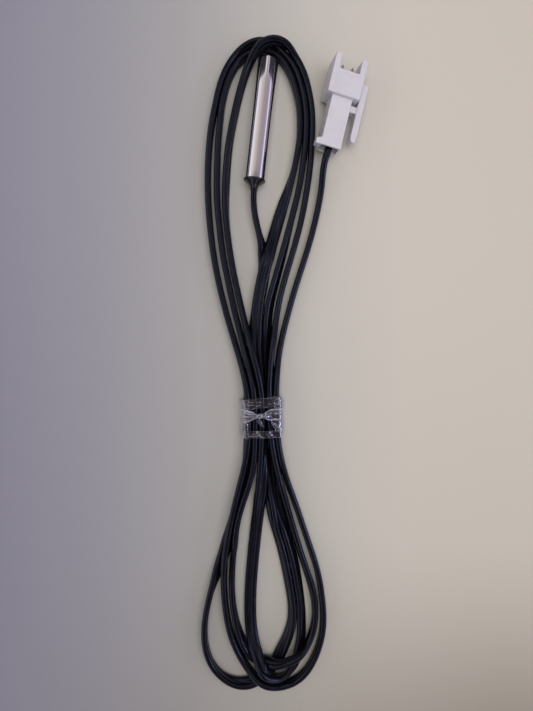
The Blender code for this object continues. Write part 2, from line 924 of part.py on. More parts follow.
def contact_mesh():
    """A pin contact about its own axis: pin, folded box with a lance, and two crimp barrels."""
    pin_end = hood_front + pin_reach
    radius = pin_diameter / 2
    pin = turned(
        [
            (box_front - 0.0005, 0.0),
            (box_front - 0.0005, radius),
            (pin_end - pin_taper, radius),
            (pin_end - 0.00005, radius * 0.45),
            (pin_end, 0.0),
        ],
        small_sides,
    )
    half = contact_box_width / 2
    height = contact_box_height / 2
    box = block((-half, box_rear, -height), (half, box_front, height), contact_sheet / 2, 1)
    inside = block(
        (-half + contact_sheet, box_rear - 0.001, -height + contact_sheet),
        (half - contact_sheet, box_front - contact_sheet * 3, height - contact_sheet),
    )
    lance_front = box_front - contact_box_length * 0.55
    lance_rear = lance_front - lance_length
    lance = prism(
        [
            (lance_front - 0.0001, -height + contact_sheet / 2),
            (lance_rear, -height - lance_drop),
            (lance_rear, -height - lance_drop + contact_sheet),
            (lance_front - 0.0001, -height + contact_sheet),
        ],
        -half * 0.45,
        half * 0.45,
        "X",
    )
    wire_inner = conductor_diameter / 2 + inner_gap
    grip_inner = grip_diameter / 2 + inner_gap
    wire_floor = -wire_inner - contact_sheet
    grip_floor = -grip_inner - contact_sheet
    strip_half = wire_inner * 0.8
    box_strip = prism(
        [
            (wire_barrel_rear, wire_floor),
            (box_rear + 0.0004, -height),
            (box_rear + 0.0004, -height + contact_sheet),
            (wire_barrel_rear, wire_floor + contact_sheet * 0.8),
        ],
        -strip_half,
        strip_half,
        "X",
    )
    grip_strip = prism(
        [
            (grip_barrel_rear + contact_sheet, grip_floor),
            (grip_barrel_front, grip_floor),
            (wire_barrel_rear + 0.0003, wire_floor),
            (wire_barrel_rear + 0.0003, wire_floor + contact_sheet * 0.8),
            (grip_barrel_front, grip_floor + contact_sheet * 0.8),
            (grip_barrel_rear + contact_sheet, grip_floor + contact_sheet * 0.8),
        ],
        -strip_half,
        strip_half,
        "X",
    )
    wire_barrel = barrel(wire_inner, wire_barrel_rear, wire_barrel_front)
    grip_barrel = barrel(grip_inner, grip_barrel_rear, grip_barrel_front)
    body = cut(box, inside)
    return join(body, pin, lance, wire_barrel, grip_barrel, box_strip, grip_strip)


def make_contacts(parent, materials):
    """Both pin contacts and the two wires that run into their crimps."""
    contact = contact_mesh()
    wire_start = slide_gap
    rise = core_offset + slide_gap / 2
    strip_end = grip_barrel_front + 0.0002
    wire_end = wire_barrel_front - 0.0001
    for letter, side, up in (("a", -pin_pitch / 2, rise), ("b", pin_pitch / 2, -rise)):
        pin_contact = place_mesh(f"terminal_{letter}", contact.copy(), materials["contact"], parent)
        pin_contact.location = (side, 0, 0)
        split = grip_barrel_rear - 0.0004
        points = []
        steps = 8
        for step in range(steps + 1):
            share = step / steps
            ease = share * share * (3 - 2 * share)
            angle = math.pi / 2 * (1 - ease)
            reach = rise + (pin_pitch / 2 - rise) * ease
            across = math.copysign(reach * math.cos(angle), side)
            height = math.copysign(reach * math.sin(angle), up)
            points.append(Vector((across, wire_start + (split - wire_start) * share, height)))
        insulation_path = points + [
            Vector((side, grip_barrel_rear, 0)),
            Vector((side, grip_barrel_front, 0)),
            Vector((side, strip_end, 0)),
        ]
        full = cable_thickness / 2
        gripped = grip_diameter / 2
        radii = [full] * (steps - 1) + [(full + gripped) / 2, gripped, gripped, gripped, gripped]
        bore = conductor_diameter + 2 * inner_gap
        insulation = swept(insulation_path, lambda index: radii[index], bore)
        place_mesh(f"plug_core_{letter}", insulation, materials["pvc"], parent)
        conductor_path = points + [Vector((side, wire_end, 0))]
        conductor = swept(conductor_path, lambda index: conductor_diameter / 2)
        place_mesh(f"plug_conductor_{letter}", conductor, materials["copper"], parent)


def connector_height():
    """How far the housing's axis stands over the table when its lowest edge touches."""
    corners = [
        (hood_half, hood_height / 2),
        (lever_outer, lever_height / 2),
        (body_half, body_height / 2),
    ]
    sine = math.sin(connector_roll)
    cosine = math.cos(connector_roll)
    return max(x * sine + z * cosine for x, z in corners) + table_gap


def main():
    for piece in list(bpy.data.objects):
        bpy.data.objects.remove(piece)
    materials = make_materials()
    probe_axis = empty("probe_axis", (0, 0, probe_diameter / 2))
    make_probe(probe_axis, materials)

    tie_place = (tie_sideways, mouth - tie_from_mouth, 0)
    hank_frame = empty("hank_frame", tie_place, (0, 0, hank_lean))
    make_hank(hank_frame, materials)
    make_tie(hank_frame, materials)

    connector_frame = empty(
        "connector_frame",
        (*connector_place, connector_height()),
        (0, connector_roll, connector_heading),
        hank_frame,
    )
    make_housing(connector_frame, materials)
    make_contacts(connector_frame, materials)

    bpy.context.view_layer.update()
    to_hank = hank_frame.matrix_world.inverted()
    probe_exit = to_hank @ Vector((0, mouth - slide_gap, probe_diameter / 2))
    plug_exit = to_hank @ connector_frame.matrix_world @ Vector((0, slide_gap - cord_gap, 0))
    make_lead("cable_probe_lead", [probe_exit, *probe_lead_route], hank_frame, materials["pvc"])
    make_lead("cable_plug_lead", [plug_exit, *plug_lead_route], hank_frame, materials["pvc"])


main()
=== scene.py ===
import json
import math

import bmesh
import bpy
import numpy as np
from mathutils import Matrix, Vector


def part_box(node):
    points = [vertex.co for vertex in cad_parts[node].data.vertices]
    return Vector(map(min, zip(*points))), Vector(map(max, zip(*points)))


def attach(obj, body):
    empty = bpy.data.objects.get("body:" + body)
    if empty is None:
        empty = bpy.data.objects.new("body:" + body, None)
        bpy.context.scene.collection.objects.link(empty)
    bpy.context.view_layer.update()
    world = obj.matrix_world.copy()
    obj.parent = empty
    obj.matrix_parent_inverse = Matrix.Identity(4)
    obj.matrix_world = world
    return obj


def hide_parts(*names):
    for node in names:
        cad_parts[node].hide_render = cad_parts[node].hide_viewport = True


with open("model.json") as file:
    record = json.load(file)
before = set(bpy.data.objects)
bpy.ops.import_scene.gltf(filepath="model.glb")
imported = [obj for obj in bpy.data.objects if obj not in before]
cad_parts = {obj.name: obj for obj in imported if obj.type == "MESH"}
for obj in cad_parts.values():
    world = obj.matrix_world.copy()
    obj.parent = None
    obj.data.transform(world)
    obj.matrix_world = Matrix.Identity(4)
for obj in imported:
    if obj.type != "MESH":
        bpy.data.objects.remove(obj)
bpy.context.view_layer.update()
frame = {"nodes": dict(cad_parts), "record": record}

nodes = frame["nodes"]

# The probe lies along Y. The hank's own frame has its origin under the middle of the tie,
# with its long way leaning from the probe's.
layout = {
    "tieAcross": 0.0084,
    "tieAlong": -0.0725,
    "lean": math.radians(6.4),
    "connectorRoll": math.radians(9.5),
}
hankFrame = Matrix.Translation((layout["tieAcross"], layout["tieAlong"], 0)) @ Matrix.Rotation(
    layout["lean"], 4, "Z"
)

view = {
    "across": 0.0009,  # the spot under the lens, in the hank's frame
    "along": 0.0153,
    "height": 0.134,
    "lens": 27.2,
    "filmLongSide": 36.0,
}


def placeCamera():
    lens = bpy.data.cameras.new("overhead")
    lens.lens = view["lens"]
    lens.sensor_fit = "AUTO"
    lens.sensor_width = view["filmLongSide"]
    lens.clip_start = 0.005
    camera = bpy.data.objects.new("overhead", lens)
    bpy.context.scene.collection.objects.link(camera)
    spot = Matrix.Translation((view["across"], view["along"], view["height"]))
    camera.matrix_world = hankFrame @ spot
    bpy.context.scene.camera = camera
    bpy.context.scene.view_settings.view_transform = "Standard"


placeCamera()
print("camera placed")

# Places across and along are in the hank's frame. The table's colours and gains hold painted light and
# painted shade.
table = {
    "half": 1.2,
    # painted light: darker and cooler on the left, lighter and warmer on the right, as the room's light
    # falls on the table
    "acrossPaintedLightColours": [
        (-0.075, (0.213, 0.208, 0.262)),
        (-0.040, (0.272, 0.268, 0.296)),
        (-0.020, (0.318, 0.310, 0.306)),
        (0.012, (0.458, 0.438, 0.392)),
        (0.035, (0.500, 0.466, 0.402)),
        (0.060, (0.490, 0.454, 0.386)),
    ],
    # painted light that grows lighter far away, then painted shade on the right near the bottom of the view
    "alongPaintedLight": (-0.075, 1.00, 0.100, 1.16),  # from and to, with how light the colour is at each
    "nearPaintedShade": (0.205, 0.182, 0.146),  # on the right, towards the bottom of the view
    "nearShadeFrom": -0.025,
    "nearShadeTo": -0.105,
    "roughness": 0.38,
}


def newMaterial(name, roughness, metallic=0.0):
    material = bpy.data.materials.new(name)
    material.use_nodes = True
    shader = material.node_tree.nodes["Principled BSDF"]
    shader.inputs["Roughness"].default_value = roughness
    shader.inputs["Metallic"].default_value = metallic
    return material, shader


def addNode(material, kind, **settings):
    node = material.node_tree.nodes.new(kind)
    for name, value in settings.items():
        setattr(node, name, value)
    return node


def joinSockets(material, output, target):
    material.node_tree.links.new(output, target)


# A colour ramp on a factor, with stops as (place, colour).
def addRamp(material, factor, stops):
    ramp = addNode(material, "ShaderNodeValToRGB")
    while len(ramp.color_ramp.elements) < len(stops):
        ramp.color_ramp.elements.new(0.5)
    for element, (place, colour) in zip(ramp.color_ramp.elements, stops):
        element.position = place
        element.color = (*colour, 1) if len(colour) == 3 else colour
    joinSockets(material, factor, ramp.inputs["Fac"])
    return ramp.outputs["Color"]


def addMath(material, operation, *values):
    node = addNode(material, "ShaderNodeMath", operation=operation)
    for socket, value in zip(node.inputs, values):
        if isinstance(value, bpy.types.NodeSocket):
            joinSockets(material, value, socket)
        else:
            socket.default_value = value
    return node.outputs["Value"]


# A value carried from one range to another, in a straight line or smoothly.
def addRange(material, value, fromMin, fromMax, toMin=0.0, toMax=1.0, smooth=True):
    node = addNode(material, "ShaderNodeMapRange")
    node.interpolation_type = "SMOOTHSTEP" if smooth else "LINEAR"
    node.inputs["From Min"].default_value = fromMin
    node.inputs["From Max"].default_value = fromMax
    node.inputs["To Min"].default_value = toMin
    node.inputs["To Max"].default_value = toMax
    joinSockets(material, value, node.inputs["Value"])
    return node.outputs["Result"]


# A pale table top with painted light: cooler and darker on the left than on the right and lighter far away
# than near, with painted shade on the lower right, in place of how the room's light falls on it.
def makeTable():
    bpy.ops.object.select_all(action="DESELECT")
    bpy.ops.mesh.primitive_plane_add(size=table["half"] * 2, location=(0, 0, 0))
    floor = bpy.context.object
    floor.name = "tableTop"
    material, shader = newMaterial("tableTop", table["roughness"])
    place = addNode(material, "ShaderNodeTexCoord")
    turn = addNode(material, "ShaderNodeMapping")
    turn.inputs["Location"].default_value = (-layout["tieAcross"], -layout["tieAlong"], 0)
    lean = addNode(material, "ShaderNodeMapping")
    lean.inputs["Rotation"].default_value = (0, 0, -layout["lean"])
    joinSockets(material, place.outputs["Object"], turn.inputs["Vector"])
    joinSockets(material, turn.outputs["Vector"], lean.inputs["Vector"])
    parts = addNode(material, "ShaderNodeSeparateXYZ")
    joinSockets(material, lean.outputs["Vector"], parts.inputs["Vector"])
    left, right = table["acrossPaintedLightColours"][0][0], table["acrossPaintedLightColours"][-1][0]
    fade = addRange(material, parts.outputs["X"], left, right, smooth=False)
    stops = [((place - left) / (right - left), colour) for place, colour in table["acrossPaintedLightColours"]]
    colour = addRamp(material, fade, stops)
    # painted shade: the right side darkens towards the near end of the view
    near = addRange(material, parts.outputs["Y"], table["nearShadeFrom"], table["nearShadeTo"])
    withPaintedShade = addNode(material, "ShaderNodeMix", data_type="RGBA")
    withPaintedShade.inputs[7].default_value = (*table["nearPaintedShade"], 1)
    joinSockets(material, addMath(material, "MULTIPLY", near, fade), withPaintedShade.inputs[0])
    joinSockets(material, colour, withPaintedShade.inputs[6])
    # painted light: the colour grows lighter towards the far end of the view
    start, startGain, end, endGain = table["alongPaintedLight"]
    gain = addRange(material, parts.outputs["Y"], start, end, startGain, endGain, smooth=False)
    withPaintedLight = addNode(material, "ShaderNodeVectorMath", operation="SCALE")
    joinSockets(material, withPaintedShade.outputs[2], withPaintedLight.inputs[0])
    joinSockets(material, gain, withPaintedLight.inputs["Scale"])
    joinSockets(material, withPaintedLight.outputs["Vector"], shader.inputs["Base Color"])
    floor.data.materials.append(material)


# The room's colour at each angle from straight overhead, from the left horizon to the right one.
room = [
    (-90, (0.03, 0.03, 0.04)),
    (-82, (0.05, 0.05, 0.06)),
    (-79, (0.50, 0.50, 0.62)),
    (-70, (1.05, 1.02, 1.20)),
    (-58, (0.98, 0.93, 1.00)),
    (-36, (0.78, 0.70, 0.66)),
    (-14, (0.60, 0.54, 0.54)),
    (0, (0.47, 0.41, 0.42)),
    (22, (0.42, 0.37, 0.37)),
    (42, (0.40, 0.37, 0.46)),
    (52, (0.50, 0.44, 0.66)),
    (58, (0.98, 0.84, 1.25)),
    (69, (0.98, 0.90, 1.25)),
    (75, (0.12, 0.11, 0.14)),
    (90, (0.04, 0.04, 0.05)),
]
# What hangs over the middle of the view is dark, and the bands close in towards the room's far end.
# Places along the view are parts of the way from 0 overhead to 1 at the far horizon, halves are degrees.
roomShape = {
    "darkShare": 0.20,
    "darkTo": -0.06,
    "brightFrom": 0.07,
    "darkHalf": 34,
    "darkEdge": 54,
    "endFrom": 0.445,
    "endTo": 0.488,
    "endSqueeze": 3.0,
    "endPower": 3,
}
# Each has its place and aim in the hank's frame, size across and along, power, colour, and whether
# gloss shows it.
lamps = {
    "ceiling": ((0.10, 0.0, 0.50), (0.0, 0.01, 0), (0.50, 0.50), 2.15, (1.0, 0.99, 0.97), False),
    "window": ((0.42, -0.04, 0.24), (0.0, 0.0, 0), (0.10, 0.12), 0.24, (0.66, 0.74, 1.0), True),
}


def makeLamp(name):
    place, aim, size, power, colour, mirrored = lamps[name]
    light = bpy.data.lights.new(name, "AREA")
    light.shape = "RECTANGLE"
    light.size, light.size_y = size
    light.energy = power
    light.color = colour
    lamp = bpy.data.objects.new(name, light)
    bpy.context.scene.collection.objects.link(lamp)
    place = hankFrame @ Vector(place)
    aim = hankFrame @ Vector(aim)
    lamp.rotation_euler = (aim - place).to_track_quat("-Z", "Y").to_euler()
    lamp.location = place
    lamp.visible_glossy = mirrored


# Soft light from all round, in bands that run along the view.
def makeRoom():
    world = bpy.data.worlds.new("room")
    bpy.context.scene.world = world
    world.use_nodes = True
    way = addNode(world, "ShaderNodeTexCoord")
    parts = addNode(world, "ShaderNodeSeparateXYZ")
    joinSockets(world, way.outputs["Generated"], parts.inputs["Vector"])
    shape = roomShape
    end = addRange(world, parts.outputs["Y"], shape["endFrom"], shape["endTo"], smooth=False)
    end = addMath(world, "POWER", end, shape["endPower"])
    squeeze = addMath(world, "MULTIPLY_ADD", end, shape["endSqueeze"], 1.0)
    turn = addMath(world, "ARCTAN2", parts.outputs["X"], parts.outputs["Z"])
    turn = addMath(world, "MULTIPLY", turn, 180 / math.pi)
    place = addMath(world, "MULTIPLY_ADD", addMath(world, "MULTIPLY", turn, squeeze), 1 / 180, 0.5)
    colour = addRamp(world, place, [(turn / 180 + 0.5, shade) for turn, shade in room])
    aside = addMath(world, "ABSOLUTE", turn)
    inMiddle = addRange(world, aside, shape["darkHalf"], shape["darkEdge"], 1.0, 0.0)
    near = addRange(world, parts.outputs["Y"], shape["darkTo"], shape["brightFrom"], 1.0, 0.0)
    shade = addMath(world, "MULTIPLY", inMiddle, near)
    light = addMath(world, "MULTIPLY_ADD", shade, shape["darkShare"] - 1, 1.0)
    background = world.node_tree.nodes["Background"]
    joinSockets(world, colour, background.inputs["Color"])
    joinSockets(world, light, background.inputs["Strength"])


def makeLight():
    makeRoom()
    for name in lamps:
        makeLamp(name)


makeTable()
makeLight()
print("table and light made")


def newGroup(name, inputs, outputs):
    group = bpy.data.node_groups.new(name, "ShaderNodeTree")
    for label, kind, value in inputs:
        socket = group.interface.new_socket(label, in_out="INPUT", socket_type=kind)
        if value is not None:
            socket.default_value = value
    for label, kind in outputs:
        group.interface.new_socket(label, in_out="OUTPUT", socket_type=kind)
    start = group.nodes.new("NodeGroupInput")
    end = group.nodes.new("NodeGroupOutput")
    return group, start, end


noiseSpan = (0.32, 0.68)  # stretched out to the range from 0 to 1
dustPicked = 0.72  # cells with a higher random value hold a speck
dustColour = (0.42, 0.40, 0.38)


# Broad patches and fine grain, both from 0 to 1, for the finish of a moulded or drawn surface.
def makeGrainGroup():
    group, start, end = newGroup(
        "surfaceGrain",
        [
            ("Vector", "NodeSocketVector", None),
            ("Patch Scale", "NodeSocketFloat", 300.0),
            ("Grain Scale", "NodeSocketFloat", 4000.0),
        ],
        [("Patches", "NodeSocketFloat"), ("Grain", "NodeSocketFloat")],
    )
    for scale, label, detail in (("Patch Scale", "Patches", 3.0), ("Grain Scale", "Grain", 2.0)):
        noise = group.nodes.new("ShaderNodeTexNoise")
        noise.inputs["Detail"].default_value = detail
        spread = group.nodes.new("ShaderNodeMapRange")
        spread.inputs["From Min"].default_value, spread.inputs["From Max"].default_value = noiseSpan
        group.links.new(start.outputs["Vector"], noise.inputs["Vector"])
        group.links.new(start.outputs[scale], noise.inputs["Scale"])
        group.links.new(noise.outputs["Fac"], spread.inputs["Value"])
        group.links.new(spread.outputs["Result"], end.inputs[label])
    return group


# A few specks of dust, 1 in a speck and 0 elsewhere.
def makeDustGroup():
    group, start, end = newGroup(
        "dustSpecks",
        [
            ("Vector", "NodeSocketVector", None),
            ("Scale", "NodeSocketFloat", 900.0),
            ("Size", "NodeSocketFloat", 0.10),
        ],
        [("Specks", "NodeSocketFloat")],
    )
    cells = group.nodes.new("ShaderNodeTexVoronoi")
    inside = group.nodes.new("ShaderNodeMath")
    inside.operation = "LESS_THAN"
    picked = group.nodes.new("ShaderNodeMath")
    picked.operation = "GREATER_THAN"
    picked.inputs[1].default_value = dustPicked
    parts = group.nodes.new("ShaderNodeSeparateColor")
    both = group.nodes.new("ShaderNodeMath")
    both.operation = "MULTIPLY"
    group.links.new(start.outputs["Vector"], cells.inputs["Vector"])
    group.links.new(start.outputs["Scale"], cells.inputs["Scale"])
    group.links.new(cells.outputs["Distance"], inside.inputs[0])
    group.links.new(start.outputs["Size"], inside.inputs[1])
    group.links.new(cells.outputs["Color"], parts.inputs["Color"])
    group.links.new(parts.outputs["Red"], picked.inputs[0])
    group.links.new(inside.outputs["Value"], both.inputs[0])
    group.links.new(picked.outputs["Value"], both.inputs[1])
    group.links.new(both.outputs["Value"], end.inputs["Specks"])
    return group


grainGroup = makeGrainGroup()
dustGroup = makeDustGroup()

# For each finish: two colours that the patches mix, roughness from smooth to rough patches, metallic,
# the scales of patches and grain, how high the grain stands, how much dust shows, and how far the
# pattern is stretched. Some also tint what they mirror, or let light a little way in, as a share, a
# depth, and how much of that depth each colour reaches.
finishes = {
    "black_pvc": {
        "colours": ((0.0022, 0.0022, 0.0036), (0.0042, 0.0041, 0.0066)),
        "roughness": (0.17, 0.25),
        "tint": (0.54, 0.61, 0.84),
        "patches": 2.2,
        "grain": 60.0,
        "height": 0.000004,
        "dust": (14.0, 0.05),
        "stretch": (3.0, 1.6, 1.0),
        "uv": True,
    },
    "polished_steel": {
        "colours": ((0.72, 0.70, 0.70), (0.68, 0.66, 0.66)),
        "roughness": (0.07, 0.10),
        "metallic": 1.0,
        "patches": 260.0,
        "grain": 1500.0,
        "height": 0.0000001,
        "dust": (700.0, 0.05),
        "stretch": (1.0, 0.04, 1.0),
    },
    "black_epoxy": {
        "colours": ((0.006, 0.006, 0.008), (0.014, 0.013, 0.015)),
        "roughness": (0.12, 0.28),
        "patches": 900.0,
        "grain": 3000.0,
        "height": 0.00002,
        "dust": (1500.0, 0.10),
    },
    "white_nylon": {
        "colours": ((0.58, 0.56, 0.60), (0.62, 0.60, 0.63)),
        "roughness": (0.34, 0.46),
        "patches": 260.0,
        "grain": 5200.0,
        "height": 0.000004,
        "dust": (420.0, 0.035),
        "subsurface": (0.45, 0.0014, (1.0, 0.95, 0.92)),
    },
    "tinned_contact": {
        "colours": ((0.60, 0.59, 0.58), (0.46, 0.45, 0.45)),
        "roughness": (0.16, 0.34),
        "metallic": 1.0,
        "patches": 900.0,
        "grain": 4000.0,
        "height": 0.000002,
        "dust": (900.0, 0.05),
        "stretch": (1.0, 0.25, 1.0),
    },
    "tinned_copper": {
        "colours": ((0.66, 0.63, 0.60), (0.70, 0.50, 0.38)),
        "roughness": (0.24, 0.42),
        "metallic": 1.0,
        "patches": 1100.0,
        "grain": 4000.0,
        "height": 0.000004,
        "dust": (900.0, 0.03),
    },
    "solder": {
        "colours": ((0.64, 0.64, 0.66), (0.46, 0.46, 0.48)),
        "roughness": (0.20, 0.50),
        "metallic": 1.0,
        "patches": 1500.0,
        "grain": 5000.0,
        "height": 0.00001,
        "dust": (900.0, 0.03),
    },
    "bead_coat": {
        "colours": ((0.020, 0.014, 0.014), (0.045, 0.030, 0.028)),
        "roughness": (0.16, 0.30),
        "patches": 900.0,
        "grain": 3000.0,
        "height": 0.00001,
        "dust": (900.0, 0.05),
    },
    "clear_sleeve": {
        "colours": ((0.62, 0.52, 0.36), (0.74, 0.66, 0.52)),
        "roughness": (0.22, 0.36),
        "patches": 700.0,
        "grain": 3000.0,
        "height": 0.000004,
        "dust": (900.0, 0.03),
    },
}


# A Principled material for one finish, with its patches, grain and dust in place.
def makeFinish(name):
    finish = finishes[name]
    smooth, rough = finish["roughness"]
    material, shader = newMaterial(name, smooth, finish.get("metallic", 0.0))
    place = addNode(material, "ShaderNodeTexCoord")
    stretch = addNode(material, "ShaderNodeMapping")
    stretch.inputs["Scale"].default_value = finish.get("stretch", (1.0, 1.0, 1.0))
    source = "UV" if finish.get("uv") else "Object"
    joinSockets(material, place.outputs[source], stretch.inputs["Vector"])
    grain = addNode(material, "ShaderNodeGroup", node_tree=grainGroup)
    grain.inputs["Patch Scale"].default_value = finish["patches"]
    grain.inputs["Grain Scale"].default_value = finish["grain"]
    joinSockets(material, stretch.outputs["Vector"], grain.inputs["Vector"])
    colour = addRamp(
        material,
        grain.outputs["Patches"],
        [(0.0, finish["colours"][0]), (1.0, finish["colours"][1])],
    )
    dust = addNode(material, "ShaderNodeGroup", node_tree=dustGroup)
    dust.inputs["Scale"].default_value, dust.inputs["Size"].default_value = finish["dust"]
    joinSockets(material, place.outputs[source], dust.inputs["Vector"])
    dusty = addNode(material, "ShaderNodeMix", data_type="RGBA")
    dusty.inputs[7].default_value = (*dustColour, 1)
    joinSockets(material, dust.outputs["Specks"], dusty.inputs[0])
    joinSockets(material, colour, dusty.inputs[6])
    joinSockets(material, dusty.outputs[2], shader.inputs["Base Color"])
    spread = addRange(material, grain.outputs["Patches"], 0, 1, smooth, rough, smooth=False)
    joinSockets(material, spread, shader.inputs["Roughness"])
    bump = addNode(material, "ShaderNodeBump")
    bump.inputs["Distance"].default_value = finish["height"]
    joinSockets(material, grain.outputs["Grain"], bump.inputs["Height"])
    joinSockets(material, bump.outputs["Normal"], shader.inputs["Normal"])
    if "subsurface" in finish:
        weight, depth, reach = finish["subsurface"]
        shader.inputs["Subsurface Weight"].default_value = weight
        shader.inputs["Subsurface Scale"].default_value = depth
        shader.inputs["Subsurface Radius"].default_value = reach
    if "tint" in finish:
        shader.inputs["Specular Tint"].default_value = (*finish["tint"], 1)
    return material


film = {
    "colour": (0.88, 0.90, 0.98),
    "roughness": (0.10, 0.32),  # flat and creased
    "cover": (0.11, 0.60),  # how much of what lies behind is hidden, face on and edge on
    "creaseCover": 0.80,
    "steepness": 3.0,
}


# Clear film lets most light by and mirrors the rest. It hides more where it is seen edge on and
# where it is creased, which its crease attribute says.
def makeFilmFinish():
    material, shader = newMaterial("clear_film", film["roughness"][0], 1.0)
    shader.inputs["Base Color"].default_value = (*film["colour"], 1)
    crease = addNode(material, "ShaderNodeAttribute", attribute_name="crease")
    facing = addNode(material, "ShaderNodeLayerWeight")
    facing.inputs["Blend"].default_value = 0.5
    steep = addMath(material, "POWER", facing.outputs["Facing"], film["steepness"])
    flat, edge = film["cover"]
    cover = addRange(material, steep, 0, 1, flat, edge, smooth=False)
    creased = addMath(material, "MULTIPLY", crease.outputs["Fac"], film["creaseCover"])
    joinSockets(material, addMath(material, "MAXIMUM", cover, creased), shader.inputs["Alpha"])
    rough = addRange(material, crease.outputs["Fac"], 0, 1, *film["roughness"], smooth=False)
    joinSockets(material, rough, shader.inputs["Roughness"])
    return material


materials = {name: makeFinish(name) for name in finishes}
materials["clear_film"] = makeFilmFinish()
slotOf = {part["node"]: part["material_slot"] for part in frame["record"]["subparts"]}
for name, node in nodes.items():
    if slotOf[name] in materials:
        node.material_slots[0].material = materials[slotOf[name]]
print("materials made")


samePlace = 1e-6  # corners closer than this count as one


# Pieces are modelled at the origin or in place, one at a time.
def clearSelection():
    if bpy.context.object and bpy.context.object.mode != "OBJECT":
        bpy.ops.object.mode_set(mode="OBJECT")
    bpy.ops.object.select_all(action="DESELECT")


def takeAlone(piece):
    clearSelection()
    piece.select_set(True)
    bpy.context.view_layer.objects.active = piece


# In edit mode: selects the faces or edges whose middle passes the test.
def pick(piece, kind, test):
    form = bmesh.from_edit_mesh(piece.data)
    for group in (form.verts, form.edges, form.faces):
        for item in group:
            item.select_set(False)
    for item in getattr(form, kind):
        middle = sum((v.co for v in item.verts), Vector()) / len(item.verts)
        if test(item, middle):
            item.select_set(True)
    form.select_flush_mode()
    bmesh.update_edit_mesh(piece.data)


def applyModifier(piece, kind, **settings):
    takeAlone(piece)
    modifier = piece.modifiers.new(kind.lower(), kind)
    for name, value in settings.items():
        setattr(modifier, name, value)
    bpy.ops.object.modifier_apply(modifier=modifier.name)


def settlePlace(piece):
    takeAlone(piece)
    bpy.ops.object.transform_apply(location=True, rotation=True, scale=True)


# Cuts a piece by others or joins others to it.
def combine(piece, operation, others):
    for other in others:
        applyModifier(piece, "BOOLEAN", operation=operation, solver="EXACT", object=other)
        mesh = other.data
        bpy.data.objects.remove(other)
        bpy.data.meshes.remove(mesh)
    return piece


probe = {
    "sides": 128,
    "wall": 0.0003,
    "tipWall": 0.0004,
    "tipRound": 0.0008,
    "mouthRound": 0.00009,
    "smoothAngle": 35,
}


# The closed steel tube: a cylinder hollowed from its mouth, with a rounded tip.
def makeProbe():
    low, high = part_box("probe_tube")
    radius = (high.x - low.x) / 2
    clearSelection()
    bpy.ops.mesh.primitive_cylinder_add(
        vertices=probe["sides"],
        radius=radius,
        depth=high.y - low.y,
        location=(low + high) / 2,
        rotation=(math.radians(-90), 0, 0),
    )
    tube = bpy.context.object
    tube.name = "probeTube"
    settlePlace(tube)
    bpy.ops.object.mode_set(mode="EDIT")
    pick(tube, "edges", lambda edge, middle: all(v.co.y > high.y - samePlace for v in edge.verts))
    bpy.ops.mesh.bevel(offset=probe["tipRound"], segments=10, affect="EDGES")
    pick(tube, "faces", lambda face, middle: face.normal.y < -0.9)
    bpy.ops.mesh.inset(thickness=probe["wall"])
    bpy.ops.mesh.extrude_region_move(
        TRANSFORM_OT_translate={"value": (0, high.y - low.y - probe["tipWall"], 0)}
    )
    pick(tube, "edges", lambda edge, middle: all(abs(v.co.y - low.y) < samePlace for v in edge.verts)
         and len({round((v.co.x**2 + (v.co.z - radius) ** 2) ** 0.5, 5) for v in edge.verts}) == 1)
    bpy.ops.mesh.bevel(offset=probe["mouthRound"], segments=3, affect="EDGES")
    bpy.ops.mesh.select_all(action="SELECT")
    bpy.ops.mesh.remove_doubles(threshold=samePlace)
    bpy.ops.mesh.normals_make_consistent(inside=False)
    bpy.ops.object.mode_set(mode="OBJECT")
    takeAlone(tube)
    bpy.ops.object.shade_smooth_by_angle(angle=math.radians(probe["smoothAngle"]))
    tube.data.materials.clear()
    tube.data.materials.append(materials["polished_steel"])
    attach(tube, "root")
    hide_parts("probe_tube")


resin = {
    "radius": 0.00268,
    "overlap": 0.00022,  # how far it laps up the tube
    "lip": 0.000352,  # straight, before it is drawn in
    "length": 0.0021,
    "curve": 2.4,
    "endHalfWide": 0.00098,
    "endHalfHigh": 0.00172,
    "aside": -0.00012,
    "clear": 0.00002,  # above the table
    "edgeRound": 0.00008,
    "smoothAngle": 50,
    "sides": 64,
    "steps": 12,
}


